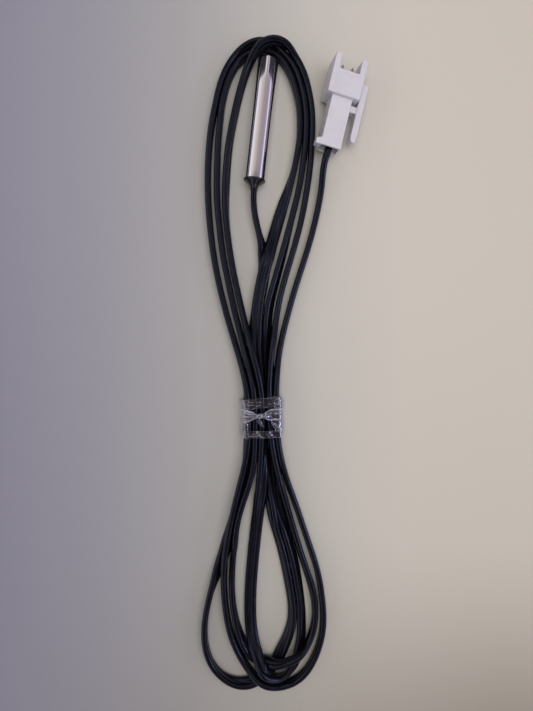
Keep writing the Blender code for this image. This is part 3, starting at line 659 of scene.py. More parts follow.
# The black resin at the tube's mouth, drawn down round the cable.
def makeResin():
    low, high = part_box("probe_tube")
    size = resin
    middle = (low.z + high.z) / 2
    clearSelection()
    bpy.ops.mesh.primitive_circle_add(
        vertices=size["sides"],
        radius=size["radius"],
        fill_type="NGON",
        location=(size["aside"], low.y + size["overlap"], middle),
        rotation=(math.radians(90), 0, 0),
    )
    collar = bpy.context.object
    collar.name = "resinCollar"
    settlePlace(collar)
    bpy.ops.object.mode_set(mode="EDIT")
    bpy.ops.mesh.select_all(action="SELECT")
    bpy.ops.mesh.extrude_region_move(TRANSFORM_OT_translate={"value": (0, -size["lip"], 0)})
    wide = tall = size["radius"]
    move = (-size["aside"] / size["steps"], -size["length"] / size["steps"], 0)
    for step in range(1, size["steps"] + 1):
        drawn = 1 - (1 - step / size["steps"]) ** size["curve"]
        newWide = size["radius"] + (size["endHalfWide"] - size["radius"]) * drawn
        newTall = size["radius"] + (size["endHalfHigh"] - size["radius"]) * drawn
        bpy.ops.mesh.extrude_region_move(TRANSFORM_OT_translate={"value": move})
        bpy.ops.transform.resize(value=(newWide / wide, 1, newTall / tall))
        wide, tall = newWide, newTall
    bpy.ops.mesh.select_all(action="SELECT")
    bpy.ops.mesh.remove_doubles(threshold=samePlace)
    bpy.ops.mesh.normals_make_consistent(inside=False)
    form = bmesh.from_edit_mesh(collar.data)
    for corner in form.verts:
        corner.co.z = max(corner.co.z, size["clear"])
    bmesh.update_edit_mesh(collar.data)
    bpy.ops.object.mode_set(mode="OBJECT")
    applyModifier(collar, "BEVEL", width=size["edgeRound"], segments=3, limit_method="ANGLE")
    takeAlone(collar)
    bpy.ops.object.shade_smooth_by_angle(angle=math.radians(size["smoothAngle"]))
    collar.data.materials.clear()
    collar.data.materials.append(materials["black_epoxy"])
    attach(collar, "root")


makeProbe()
makeResin()
print("probe made")

# The connector's housing along its own axes, from the middle of its rear.
housing = {
    "bodyWidth": 0.0051,
    "bodyHeight": 0.0050,
    "bodyLength": 0.0121,
    "hoodWidth": 0.0080,
    "hoodHeight": 0.0070,
    "hoodSideWall": 0.00145,
    "hoodFlatWall": 0.0010,
    "hoodLength": 0.0059,
    "prongLength": 0.0036,
    "bulkhead": 0.0010,
    "ribStep": 0.0012,
    "ribLength": 0.0013,
    "ribSlant": 0.0005,
    "ribHeight": 0.0027,
    "ribInset": 0.000255,
    "leverGap": 0.0018,
    "leverThick": 0.0015,
    "leverHeight": 0.0030,
    "leverRear": 0.0029,
    "leverFront": 0.0170,
    "leverEndRound": 0.000495,
    "leverCorner": 0.0005,
    "leverTaper": 0.0015,
    "pressLeft": 0.00012,
    "pressRight": 0.00018,
    "noseNarrow": 0.0002,
    "hookSlope": 0.0005,
    "bridgeFront": 0.0114,
    "bridgeLength": 0.0016,
    "hookLength": 0.0014,
    "hookReach": 0.0004,
    "hookClear": 0.0003,
    "pocketWall": 0.0004,
    "pocketHeight": 0.0036,
    "pocketDepth": 0.0040,
    "pocketRound": 0.0002,
    "cavityWidth": 0.0019,
    "cavityHeight": 0.0022,
    "pinPitch": 0.0025,
    "pinHole": 0.0009,
    "lanceEnd": 0.01012,
    "lanceWindow": 0.0016,
    "edgeRound": 0.00032,
    "voxel": 0.00011,
    "softPasses": 5,
}


# The connector's own axes: Y towards its open end, from the middle of its rear.
def connectorFrame():
    mount = next(m for m in frame["record"]["mounts"] if m["name"] == "connector_face")
    forward = Vector(mount["axis"]).normalized()
    level = forward.cross(Vector((0, 0, 1)))
    side = Matrix.Rotation(layout["connectorRoll"], 3, forward) @ level
    up = side.cross(forward)
    place = Vector(mount["pos_m"]) - forward * (housing["bodyLength"] + housing["bulkhead"])
    turn = Matrix((side, forward, up)).transposed()
    return Matrix.Translation(place) @ turn.to_4x4()


# A block between two corners, with rounded edges where asked.
def addBlock(low, high, rounding=0.0):
    low, high = Vector(low), Vector(high)
    clearSelection()
    bpy.ops.mesh.primitive_cube_add(size=1, location=(low + high) / 2)
    block = bpy.context.object
    block.scale = high - low
    settlePlace(block)
    if rounding:
        applyModifier(block, "BEVEL", width=rounding, segments=4)
    return block


# A plate: an outline in X and Y, drawn up from one height to another.
def addPlate(outline, low, high, rounding=0.0):
    clearSelection()
    bpy.ops.mesh.primitive_circle_add(vertices=len(outline), fill_type="NGON")
    plate = bpy.context.object
    bpy.ops.object.mode_set(mode="EDIT")
    form = bmesh.from_edit_mesh(plate.data)
    form.verts.ensure_lookup_table()
    for corner, (x, y) in zip(form.verts, outline):
        corner.co = (x, y, low)
    bmesh.update_edit_mesh(plate.data)
    bpy.ops.mesh.select_all(action="SELECT")
    bpy.ops.mesh.extrude_region_move(TRANSFORM_OT_translate={"value": (0, 0, high - low)})
    bpy.ops.mesh.select_all(action="SELECT")
    bpy.ops.mesh.normals_make_consistent(inside=False)
    bpy.ops.object.mode_set(mode="OBJECT")
    if rounding:
        applyModifier(plate, "BEVEL", width=rounding, segments=3, limit_method="ANGLE")
    return plate


def arc(x, y, radius, start, end, steps=6):
    turns = [math.radians(start + (end - start) * step / steps) for step in range(steps + 1)]
    return [(x + radius * math.cos(turn), y + radius * math.sin(turn)) for turn in turns]


# The see-saw latch lever from above: rounded where it is pressed, hooked at its front.
def leverOutline():
    size = housing
    inner = size["bodyWidth"] / 2 + size["leverGap"]
    outer = inner + size["leverThick"]
    front, rear = size["leverFront"], size["leverRear"]
    hookTip = size["hoodWidth"] / 2 - size["hoodSideWall"] - size["hookReach"]
    hookRear = front - size["hookLength"]
    end = size["leverEndRound"]
    middle = (inner + outer) / 2
    corner = size["leverCorner"]
    shoulder = rear + size["leverTaper"]
    return (
        arc(middle - size["pressLeft"], rear + end, end, 200, 270, 4)
        + arc(middle + size["pressRight"], rear + end, end, 270, 330, 4)
        + [(outer, shoulder)]
        + arc(outer - corner, front - corner, corner, 0, 90, 5)
        + [(inner - size["noseNarrow"], front), (hookTip, hookRear + size["hookSlope"])]
        + [(hookTip, hookRear), (inner, hookRear), (inner, shoulder)]
    )


def makeHousing():
    size = housing
    half = size["bodyWidth"] / 2
    hoodHalf = size["hoodWidth"] / 2
    hoodRear = size["bodyLength"]
    hoodFloor = hoodRear + size["bulkhead"]
    hoodFront = hoodRear + size["hoodLength"]
    prongFront = hoodFront + size["prongLength"]
    innerHalf = hoodHalf - size["hoodSideWall"]
    innerHeight = size["hoodHeight"] / 2 - size["hoodFlatWall"]
    beyond = 0.002
    leverHalf = size["leverHeight"] / 2
    bridgeRear = size["bridgeFront"] - size["bridgeLength"]
    slotRear = size["leverFront"] - size["hookLength"] - size["hookClear"]
    leverInner = half + size["leverGap"]

    hood = addBlock(
        (-hoodHalf, hoodRear, -size["hoodHeight"] / 2),
        (hoodHalf, prongFront, size["hoodHeight"] / 2),
        size["edgeRound"],
    )
    body = addBlock(
        (-half, 0, -size["bodyHeight"] / 2),
        (half, hoodRear + size["bulkhead"] / 2, size["bodyHeight"] / 2),
        size["edgeRound"],
    )
    ribTop = size["bodyHeight"] / 2 - size["edgeRound"] / 3
    ribRight = half - 2 * size["ribInset"]
    rib = addPlate(
        [
            (-half - size["ribStep"], 0),
            (ribRight, 0),
            (ribRight, size["ribLength"] + size["ribSlant"]),
            (-half + size["ribInset"], size["ribLength"] + size["ribSlant"]),
            (-half - size["ribStep"], size["ribLength"]),
        ],
        ribTop - size["ribHeight"],
        ribTop,
        size["edgeRound"] * 0.6,
    )
    combine(hood, "UNION", [body, rib])

    cutters = [
        addBlock((-innerHalf, hoodFloor, -innerHeight), (innerHalf, prongFront + beyond, innerHeight)),
        addBlock(
            (-innerHalf, hoodFront, -hoodHalf - beyond),
            (innerHalf, prongFront + beyond, hoodHalf + beyond),
        ),
        addBlock(
            (innerHalf - beyond / 2, slotRear, -leverHalf - size["hookClear"]),
            (hoodHalf + beyond, size["leverFront"] + size["hookClear"], leverHalf + size["hookClear"]),
        ),
        addBlock(
            (-half + size["pocketWall"], -beyond, -size["pocketHeight"] / 2),
            (half - size["pocketWall"], size["pocketDepth"], size["pocketHeight"] / 2),
            size["pocketRound"],
        ),
    ]
    for side in (-size["pinPitch"] / 2, size["pinPitch"] / 2):
        cutters.append(addBlock(
            (side - size["cavityWidth"] / 2, size["pocketDepth"] - beyond / 4, -size["cavityHeight"] / 2),
            (side + size["cavityWidth"] / 2, hoodRear, size["cavityHeight"] / 2),
        ))
        clearSelection()
        bpy.ops.mesh.primitive_cylinder_add(
            vertices=24,
            radius=size["pinHole"] / 2,
            depth=beyond,
            location=(side, hoodRear + beyond / 4, 0),
            rotation=(math.radians(90), 0, 0),
        )
        hole = bpy.context.object
        settlePlace(hole)
        cutters.append(hole)
        cutters.append(addBlock(
            (side - size["cavityWidth"] / 4, size["lanceEnd"] - size["lanceWindow"], -size["bodyHeight"]),
            (side + size["cavityWidth"] / 4, size["lanceEnd"], -size["cavityHeight"] / 4),
        ))
    combine(hood, "DIFFERENCE", cutters)

    lever = addPlate(leverOutline(), -leverHalf, leverHalf, size["edgeRound"] * 0.8)
    bridge = addBlock(
        (half - size["edgeRound"], bridgeRear, -leverHalf + size["edgeRound"]),
        (leverInner + size["leverThick"] / 2, size["bridgeFront"], leverHalf - size["edgeRound"]),
    )
    combine(hood, "UNION", [lever, bridge])

    applyModifier(hood, "REMESH", mode="VOXEL", voxel_size=size["voxel"])
    applyModifier(hood, "SMOOTH", factor=0.5, iterations=size["softPasses"])
    hood.name = "connectorHousing"
    hood.data.transform(connectorFrame())
    takeAlone(hood)
    bpy.ops.object.shade_smooth()
    hood.data.materials.clear()
    hood.data.materials.append(materials["white_nylon"])
    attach(hood, "root")
    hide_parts("connector_housing")
    return hood


connectorPiece = makeHousing()
print("housing made")

cable = {
    "core": 0.0015,  # diameter of each core
    "pitch": 0.0015,  # between the two cores
    "waist": 0.00098,  # thickness of the web that joins them
    "step": 0.0008,  # along the line while it settles
    "ringStep": 0.0006,
    "lobePoints": 13,
    "lobeTurn": 150,  # degrees of each core's outline, to either side
    "webFrom": 1.25,  # the web's fade, in radii of a core
    "webFade": 0.75,
    "webPower": 5,  # how sharply the web meets the cores
    "exitInset": 0.0001,  # past the potting's face
    "plugInset": 0.00005,  # inside the connector's rear
    "straight": 0.0012,  # at both ends
    "uvPerMetre": 100,
}

# How the cable comes to rest. What isn't a number of passes or a length is a share of a way gone
# in each pass.
settling = {
    "contact": 0.00156,  # cores touch at this distance
    "easePasses": 900,
    "easing": 0.055,
    "passes": 520,
    "calmPasses": 160,
    "startPasses": 120,
    "fall": 0.0000035,
    "stiffness": 0.04,
    "levelling": 0.35,
    "tieHalf": 0.0012,
    "tieHold": 0.3,
    "routeHold": 0.03,
    "startHold": 0.002,
    "pairPasses": 20,  # between two looks for neighbours
    "pairBlock": 400,  # points looked at together
    "pairReach": 1.7,  # times the contact distance
    "pairApart": 6,  # steps along the line
    "push": 0.45,
    "twistSpread": 0.03,
    "twistHold": 0.04,
    "startRings": 3,
    "endRings": 4,
}

# The cable's middle line in the hank's frame: across, along and height in metres, and its turn in
# degrees, where 0 lies flat and 90 stands on edge. It runs from the probe to the connector.
probeLead = [
    (-0.00225, 0.0555, 0.00235, 90), (-0.0023, 0.0532, 0.00205, 90), (-0.0021, 0.0510, 0.00175, 90),
    (-0.0017, 0.0486, 0.00157, 90), (-0.0012, 0.0464, 0.00154, 90), (-0.0009, 0.0449, 0.00154, 85),
]
hankTurns = [
    # from the probe lead down to the tie
    (0.0002, 0.0413, 0.0012, 60), (0.0004, 0.0377, 0.0008, 20), (-0.0001, 0.0335, 0.0008, 0),
    (-0.0012, 0.0278, 0.0008, 0), (-0.0021, 0.0209, 0.0008, 0), (-0.0028, 0.0129, 0.0009, 0),
    (-0.0031, 0.0063, 0.0011, 10), (-0.0032, 0.0001, 0.0011, 10),
    # lowest loop: down the left, round the bottom
    (-0.0033, -0.0061, 0.0011, 10), (-0.0041, -0.0146, 0.0009, 0), (-0.0057, -0.0205, 0.0008, 0),
    (-0.0080, -0.0285, 0.0008, 0), (-0.0096, -0.0335, 0.0008, 5), (-0.0110, -0.0376, 0.0011, 45),
    (-0.0122, -0.0408, 0.0015, 80), (-0.0131, -0.0445, 0.0015, 88),
    (-0.0142, -0.0491, 0.0015, 90), (-0.0143, -0.0538, 0.0015, 90), (-0.0136, -0.0587, 0.0015, 90),
    (-0.0117, -0.0621, 0.0015, 90), (-0.0093, -0.0643, 0.0015, 90), (-0.0070, -0.0652, 0.0015, 80),
    (-0.0049, -0.0657, 0.0012, 50), (-0.0027, -0.0656, 0.0009, 20), (-0.0003, -0.0643, 0.0008, 0),
    (0.0018, -0.0620, 0.0008, 0), (0.0039, -0.0589, 0.0009, 20), (0.0057, -0.0549, 0.0013, 50),
    # back up to the tie
    (0.0074, -0.0492, 0.0015, 60), (0.0070, -0.0445, 0.0014, 60), (0.0057, -0.0374, 0.0014, 60),
    (0.0047, -0.0325, 0.0014, 60), (0.0034, -0.0276, 0.0014, 50), (0.0019, -0.0213, 0.0013, 40),
    (0.0008, -0.0144, 0.0012, 20), (0.0000, -0.0061, 0.0011, 0), (-0.0002, 0.0001, 0.0011, 0),
    # up the right side, round the inside of the top
    (-0.0007, 0.0063, 0.0012, 0), (-0.0013, 0.0130, 0.0016, 0), (-0.0016, 0.0203, 0.0022, 0),
    (-0.0012, 0.0277, 0.0023, 0), (-0.0002, 0.0333, 0.0023, 0), (0.0007, 0.0375, 0.0023, 0),
    (0.0018, 0.0414, 0.0024, 0), (0.0037, 0.0482, 0.0016, 10), (0.0051, 0.0531, 0.0014, 40),
    (0.0067, 0.0574, 0.0015, 70), (0.0078, 0.0620, 0.0015, 90), (0.0088, 0.0667, 0.0015, 90),
    (0.0092, 0.0711, 0.0015, 90), (0.0093, 0.0758, 0.0015, 90), (0.0089, 0.0796, 0.0015, 90),
    (0.0079, 0.0829, 0.0015, 90), (0.0065, 0.0857, 0.0015, 90), (0.0049, 0.0879, 0.0015, 90),
    (0.0036, 0.0892, 0.0015, 90), (0.0020, 0.0898, 0.0015, 90),
    # down the left side
    (0.0003, 0.0900, 0.0015, 90), (-0.0016, 0.0902, 0.0015, 90), (-0.0039, 0.0890, 0.0015, 90),
    (-0.0065, 0.0871, 0.0015, 90), (-0.0082, 0.0844, 0.0015, 90), (-0.0095, 0.0804, 0.0015, 90),
    (-0.0104, 0.0736, 0.0015, 90), (-0.0110, 0.0682, 0.0015, 90), (-0.0112, 0.0620, 0.0015, 90),
    (-0.0113, 0.0535, 0.0015, 90), (-0.0108, 0.0483, 0.0016, 90), (-0.0103, 0.0436, 0.0017, 90),
    (-0.0097, 0.0392, 0.0018, 90), (-0.0087, 0.0345, 0.0020, 90), (-0.0073, 0.0276, 0.0026, 90),
    (-0.0055, 0.0207, 0.0032, 90), (-0.0036, 0.0130, 0.0034, 90), (-0.0021, 0.0065, 0.0034, 90),
    (-0.0019, 0.0004, 0.0033, 90),
    # second loop at the bottom, over the first
    (-0.0019, -0.0056, 0.0032, 90), (-0.0026, -0.0135, 0.0026, 90), (-0.0038, -0.0175, 0.0022, 90),
    (-0.0055, -0.0225, 0.0019, 90), (-0.0065, -0.0274, 0.0017, 90), (-0.0071, -0.0324, 0.0016, 90),
    (-0.0075, -0.0373, 0.0015, 90), (-0.0075, -0.0444, 0.0015, 90), (-0.0068, -0.0491, 0.0015, 90),
    (-0.0055, -0.0538, 0.0015, 80), (-0.0037, -0.0574, 0.0012, 60), (-0.0014, -0.0598, 0.0012, 60),
    (0.0013, -0.0601, 0.0022, 80), (0.0037, -0.0598, 0.0032, 90), (0.0061, -0.0590, 0.0038, 90),
    (0.0083, -0.0579, 0.0036, 90), (0.0101, -0.0564, 0.0028, 90),
    # back up
    (0.0115, -0.0543, 0.0022, 90), (0.0125, -0.0512, 0.0017, 90), (0.0129, -0.0471, 0.0015, 90),
    (0.0126, -0.0444, 0.0015, 80), (0.0113, -0.0395, 0.0015, 80), (0.0086, -0.0312, 0.0016, 80),
    (0.0075, -0.0275, 0.0017, 80), (0.0057, -0.0209, 0.0022, 90), (0.0039, -0.0140, 0.0028, 90),
    (0.0024, -0.0066, 0.0032, 90), (0.0017, 0.0004, 0.0033, 90),
    # up the right side, round the outside of the top
    (0.0016, 0.0065, 0.0033, 90), (0.0018, 0.0130, 0.0030, 90), (0.0028, 0.0203, 0.0024, 90),
    (0.0038, 0.0277, 0.0019, 90), (0.0052, 0.0333, 0.0017, 90), (0.0069, 0.0392, 0.0016, 90),
    (0.0082, 0.0436, 0.0015, 90), (0.0094, 0.0483, 0.0015, 90), (0.0108, 0.0559, 0.0015, 90),
    (0.0117, 0.0620, 0.0015, 90), (0.0120, 0.0689, 0.0015, 90), (0.0120, 0.0723, 0.0015, 90),
    (0.0116, 0.0770, 0.0015, 90), (0.0109, 0.0813, 0.0015, 90), (0.0098, 0.0845, 0.0016, 90),
    (0.0084, 0.0871, 0.0018, 90), (0.0070, 0.0891, 0.0023, 90), (0.0056, 0.0905, 0.0030, 88),
    (0.0041, 0.0913, 0.0038, 85), (0.0023, 0.0914, 0.0045, 82),
    # over the other turns and down the left side
    (0.0004, 0.0908, 0.0047, 78), (-0.0013, 0.0895, 0.0045, 76), (-0.0028, 0.0874, 0.0038, 80),
    (-0.0042, 0.0844, 0.0024, 80), (-0.0056, 0.0803, 0.0018, 80), (-0.0071, 0.0736, 0.0015, 80),
    (-0.0082, 0.0682, 0.0015, 80), (-0.0088, 0.0620, 0.0015, 75), (-0.0092, 0.0535, 0.0015, 80),
    (-0.0089, 0.0473, 0.0016, 90), (-0.0081, 0.0414, 0.0017, 90), (-0.0074, 0.0367, 0.0019, 90),
    (-0.0064, 0.0322, 0.0023, 90), (-0.0054, 0.0276, 0.0029, 90), (-0.0037, 0.0207, 0.0038, 90),
    (-0.0017, 0.0130, 0.0039, 90), (-0.0003, 0.0065, 0.0035, 90), (-0.0001, 0.0004, 0.0033, 90),
    # third loop at the bottom, lying flat
    (-0.0001, -0.0057, 0.0031, 70), (0.0, -0.0142, 0.0022, 25), (-0.0010, -0.0221, 0.0015, 0),
    (-0.0022, -0.0324, 0.0010, 0), (-0.0031, -0.0451, 0.0009, 0), (-0.0030, -0.0505, 0.0014, 0),
    (-0.0026, -0.0538, 0.0026, 0), (-0.0020, -0.0562, 0.0036, 0), (-0.0008, -0.0589, 0.0034, 20),
    (0.0007, -0.0612, 0.0028, 60), (0.0022, -0.0632, 0.0022, 90), (0.0041, -0.0641, 0.0018, 100),
    (0.0059, -0.0635, 0.0016, 100), (0.0074, -0.0620, 0.0013, 110), (0.0082, -0.0598, 0.0010, 130),
    (0.0090, -0.0566, 0.0010, 130),
    # back up, turning over
    (0.0096, -0.0510, 0.0013, 120), (0.0091, -0.0445, 0.0014, 120), (0.0081, -0.0374, 0.0014, 120),
    (0.0070, -0.0325, 0.0014, 120), (0.0053, -0.0276, 0.0014, 130), (0.0037, -0.0213, 0.0013, 150),
    (0.0030, -0.0145, 0.0012, 170), (0.0028, -0.0061, 0.0011, 180), (0.0028, 0.0001, 0.0011, 180),
    # up the right side, round the middle of the top
    (0.0024, 0.0063, 0.0011, 180), (0.0013, 0.0130, 0.0012, 160), (0.0010, 0.0203, 0.0014, 130),
    (0.0016, 0.0277, 0.0014, 120), (0.0031, 0.0334, 0.0014, 110), (0.0046, 0.0392, 0.0014, 110),
    (0.0058, 0.0436, 0.0015, 100), (0.0069, 0.0483, 0.0015, 95), (0.0088, 0.0559, 0.0015, 90),
    (0.0098, 0.0620, 0.0015, 90), (0.0106, 0.0689, 0.0015, 90), (0.0106, 0.0736, 0.0015, 90),
    (0.0101, 0.0782, 0.0015, 90), (0.0090, 0.0826, 0.0015, 90), (0.0073, 0.0866, 0.0015, 90),
    (0.0054, 0.0897, 0.0015, 90), (0.0036, 0.0915, 0.0015, 90), (0.0020, 0.0924, 0.0015, 90),
    # down the left side, outermost
    (0.0004, 0.0928, 0.0015, 90), (-0.0010, 0.0927, 0.0015, 90), (-0.0024, 0.0924, 0.0015, 90),
    (-0.0037, 0.0918, 0.0015, 90), (-0.0051, 0.0908, 0.0015, 90), (-0.0065, 0.0894, 0.0015, 90),
    (-0.0079, 0.0873, 0.0015, 90), (-0.0093, 0.0845, 0.0015, 90), (-0.0103, 0.0815, 0.0015, 90),
    (-0.0117, 0.0768, 0.0015, 90), (-0.0127, 0.0715, 0.0015, 90), (-0.0132, 0.0670, 0.0015, 90),
    (-0.0135, 0.0620, 0.0015, 90), (-0.0135, 0.0545, 0.0015, 90), (-0.0131, 0.0483, 0.0015, 90),
    (-0.0126, 0.0436, 0.0015, 90), (-0.0120, 0.0392, 0.0016, 90), (-0.0111, 0.0345, 0.0017, 90),
    (-0.0095, 0.0276, 0.0022, 90), (-0.0076, 0.0208, 0.0028, 90), (-0.0053, 0.0130, 0.0032, 90),
    (-0.0038, 0.0065, 0.0034, 90), (-0.0036, 0.0004, 0.0033, 90),
    # fourth loop at the bottom, outermost
    (-0.0035, -0.0056, 0.0032, 90), (-0.0048, -0.0130, 0.0029, 90), (-0.0059, -0.0174, 0.0026, 90),
    (-0.0071, -0.0223, 0.0029, 90), (-0.0081, -0.0273, 0.0030, 90), (-0.0090, -0.0323, 0.0027, 90),
    (-0.0095, -0.0373, 0.0020, 90), (-0.0094, -0.0444, 0.0015, 90), (-0.0088, -0.0491, 0.0015, 90),
    (-0.0078, -0.0537, 0.0016, 90), (-0.0057, -0.0583, 0.0022, 90), (-0.0036, -0.0613, 0.0029, 90),
    (-0.0015, -0.0636, 0.0029, 90), (0.0008, -0.0650, 0.0023, 90), (0.0035, -0.0658, 0.0017, 90),
    (0.0068, -0.0654, 0.0015, 90), (0.0091, -0.0642, 0.0015, 90), (0.0113, -0.0616, 0.0015, 90),
    (0.0130, -0.0583, 0.0015, 90), (0.0142, -0.0547, 0.0015, 90),
    # back up
    (0.0149, -0.0514, 0.0015, 90), (0.0149, -0.0491, 0.0015, 90), (0.0145, -0.0444, 0.0015, 90),
    (0.0139, -0.0395, 0.0015, 90), (0.0123, -0.0339, 0.0015, 90), (0.0101, -0.0274, 0.0017, 90),
    (0.0080, -0.0210, 0.0021, 90), (0.0055, -0.0140, 0.0028, 90), (0.0039, -0.0071, 0.0032, 90),
    (0.0034, 0.0004, 0.0033, 90),
    # from the tie to the connector's lead
    (0.0032, 0.0055, 0.0033, 90), (0.0035, 0.0106, 0.0030, 90), (0.0039, 0.0152, 0.0026, 90),
    (0.0048, 0.0198, 0.0022, 90), (0.0058, 0.0242, 0.0018, 90), (0.0069, 0.0277, 0.0016, 90),
]
plugLead = [
    (0.00715, 0.0295, 0.00154, 90), (0.0078, 0.0313, 0.00154, 90), (0.0090, 0.0350, 0.00154, 90),
    (0.0104, 0.0395, 0.00154, 90), (0.0118, 0.0440, 0.00154, 90), (0.0129, 0.0485, 0.00154, 90),
    (0.01365, 0.0520, 0.00160, 90), (0.0142, 0.0549, 0.00195, 90), (0.0146, 0.0576, 0.00260, 90),
    (0.0149, 0.0602, 0.00340, 88), (0.0151, 0.0627, 0.00400, 84),
]


spanSamples = 12  # read on the curve between two points of a route


# The points joined by a smooth curve and read again at an even spacing.
def smoothRoute(points, spacing):
    points = np.array(points, float)
    reach = np.linalg.norm(np.diff(points[:, :3], axis=0), axis=1)
    knots = np.concatenate(([0], np.cumsum(reach)))
    slopes = np.gradient(points, knots, axis=0)
    samples = []
    for index in range(len(points) - 1):
        width = knots[index + 1] - knots[index]
        share = np.linspace(0, 1, spanSamples, endpoint=False)[:, None]
        cube, square = share**3, share**2
        samples.append(
            (2 * cube - 3 * square + 1) * points[index]
            + (cube - 2 * square + share) * width * slopes[index]
            + (3 * square - 2 * cube) * points[index + 1]
            + (cube - square) * width * slopes[index + 1]
        )
    samples = np.vstack(samples + [points[-1:]])
    return evenly(samples, spacing)


def evenly(samples, spacing):
    reach = np.linalg.norm(np.diff(samples[:, :3], axis=0), axis=1)
    along = np.concatenate(([0], np.cumsum(reach)))
    count = int(round(along[-1] / spacing)) + 1
    places = np.linspace(0, along[-1], count)
    return np.column_stack([np.interp(places, along, samples[:, k]) for k in range(samples.shape[1])])


# Which way the cable is wide at each point of a route with its turn as the fourth value.
def acrossVectors(route):
    ahead = np.gradient(route[:, :3], axis=0)
    ahead /= np.linalg.norm(ahead, axis=1)[:, None]
    side = np.column_stack((ahead[:, 1], -ahead[:, 0], np.zeros(len(route))))
    side /= np.linalg.norm(side, axis=1)[:, None]
    up = np.cross(side, ahead)
    turn = np.radians(route[:, 3])[:, None]
    return np.cos(turn) * side + np.sin(turn) * up


# Points of the two cores that lie close together but not on the same short stretch.
def touchingPairs(cores, rings, reach):
    count = len(cores)
    ring = np.arange(count) % rings
    found = []
    squares = (cores**2).sum(1)
    for start in range(0, count, settling["pairBlock"]):
        part = slice(start, start + settling["pairBlock"])
        apart = squares[part, None] + squares[None, :] - 2 * cores[part] @ cores.T
        near = apart < reach**2
        near &= np.abs(ring[part, None] - ring[None, :]) > settling["pairApart"]
        first, second = np.nonzero(near)
        first = first + start
        keep = first < second
        found.append(np.column_stack((first[keep], second[keep])))
    return np.vstack(found)


# How far each point stands off the smooth curve through its neighbours.
def unevenness(line):
    bend = np.zeros_like(line)
    bend[2:-2] = line[:-4] - 4 * line[1:-3] + 6 * line[2:-2] - 4 * line[3:-1] + line[4:]
    return bend


# Takes short waves out of a line and leaves its wide curves.
def ease(line, loose):
    for _ in range(settling["easePasses"]):
        line = line - unevenness(line) * settling["easing"] * loose
    return line


# Moves the cores that are too near each other apart.
def pushApart(cores, pairs, loose):
    first, second = pairs[:, 0], pairs[:, 1]
    gap = cores[second] - cores[first]
    apart = np.linalg.norm(gap, axis=1)
    short = apart < settling["contact"]
    first, second, gap, apart = first[short], second[short], gap[short], apart[short]
    push = gap / apart[:, None] * ((settling["contact"] - apart) * settling["push"])[:, None]
    move = np.zeros_like(cores)
    times = np.zeros(len(cores))
    np.add.at(move, second, push)
    np.add.at(move, first, -push)
    np.add.at(times, second, 1)
    np.add.at(times, first, 1)
    cores += move / np.maximum(times, 1)[:, None] ** 0.5 * loose


# The cable as two cores side by side, pushed apart where they would meet, let down on the
# table and on each other, and held near the route as seen from above.
def settle(route):
    rings = len(route)
    held = np.zeros(rings, bool)
    held[: settling["startRings"]] = True
    held[-settling["endRings"] :] = True
    route = ease(route, np.where(held, 0.0, 1.0)[:, None])
    wide = acrossVectors(route)
    half = cable["pitch"] / 2
    aim = wide * cable["pitch"]
    cores = np.vstack((route[:, :3] - wide * half, route[:, :3] + wide * half))
    target = cores.copy()
    middle = route[:, :2]
    tied = np.abs(route[:, 1]) < settling["tieHalf"]
    pull = np.where(tied, settling["tieHold"], settling["routeHold"])[:, None]
    loose = np.where(np.concatenate((held, held)), 0.0, 1.0)[:, None]
    pairs = None
    for count in range(settling["passes"] + settling["calmPasses"]):
        calm = count >= settling["passes"]
        for core in (slice(0, rings), slice(rings, 2 * rings)):
            line = cores[core]
            line -= unevenness(line) * settling["stiffness"] * loose[core]
            if not calm:
                lift = np.zeros(rings)
                lift[1:-1] = (line[:-2, 2] + line[2:, 2]) / 2 - line[1:-1, 2]
                line[:, 2] += lift * settling["levelling"] * loose[core][:, 0]
        if not calm:
            cores[:, 2] -= settling["fall"] * loose[:, 0]
        off = middle - (cores[:rings, :2] + cores[rings:, :2]) / 2
        cores[:rings, :2] += off * pull
        cores[rings:, :2] += off * pull
        startHold = settling["startHold"] if count < settling["startPasses"] else 0.0
        grip = np.where(tied, settling["tieHold"], startHold)
        cores += (target - cores) * np.concatenate((grip, grip))[:, None]
        if count % settling["pairPasses"] == 0:
            pairs = touchingPairs(cores, rings, settling["contact"] * settling["pairReach"])
        pushApart(cores, pairs, loose)
        wide = cores[rings:] - cores[:rings]
        spread = settling["twistSpread"]
        wide[1:-1] = wide[1:-1] * (1 - 2 * spread) + (wide[:-2] + wide[2:]) * spread
        wide += (aim - wide) * settling["twistHold"]
        size = np.linalg.norm(wide, axis=1)[:, None]
        centre = (cores[rings:] + cores[:rings]) / 2
        wide = wide / size * half
        cores[:rings] = centre - wide
        cores[rings:] = centre + wide
        cores[:, 2] = np.maximum(cores[:, 2], cable["core"] / 2)
        cores = np.where(loose > 0, cores, target)
    gap = cores[pairs[:, 1]] - cores[pairs[:, 0]]
    print("closest cores", round(float(np.linalg.norm(gap, axis=1).min()) * 1000, 3), "mm")
    drift = np.linalg.norm((cores[:rings, :2] + cores[rings:, :2]) / 2 - middle, axis=1)
    print("drift from the route", round(float(drift.mean()) * 1000, 3), round(float(drift.max()) * 1000, 3))
    return (cores[:rings] + cores[rings:]) / 2, cores[rings:] - cores[:rings]


def meshPiece(name, form):
    mesh = bpy.data.meshes.new(name)
    form.to_mesh(mesh)
    form.free()
    piece = bpy.data.objects.new(name, mesh)
    bpy.context.scene.collection.objects.link(piece)
    return piece


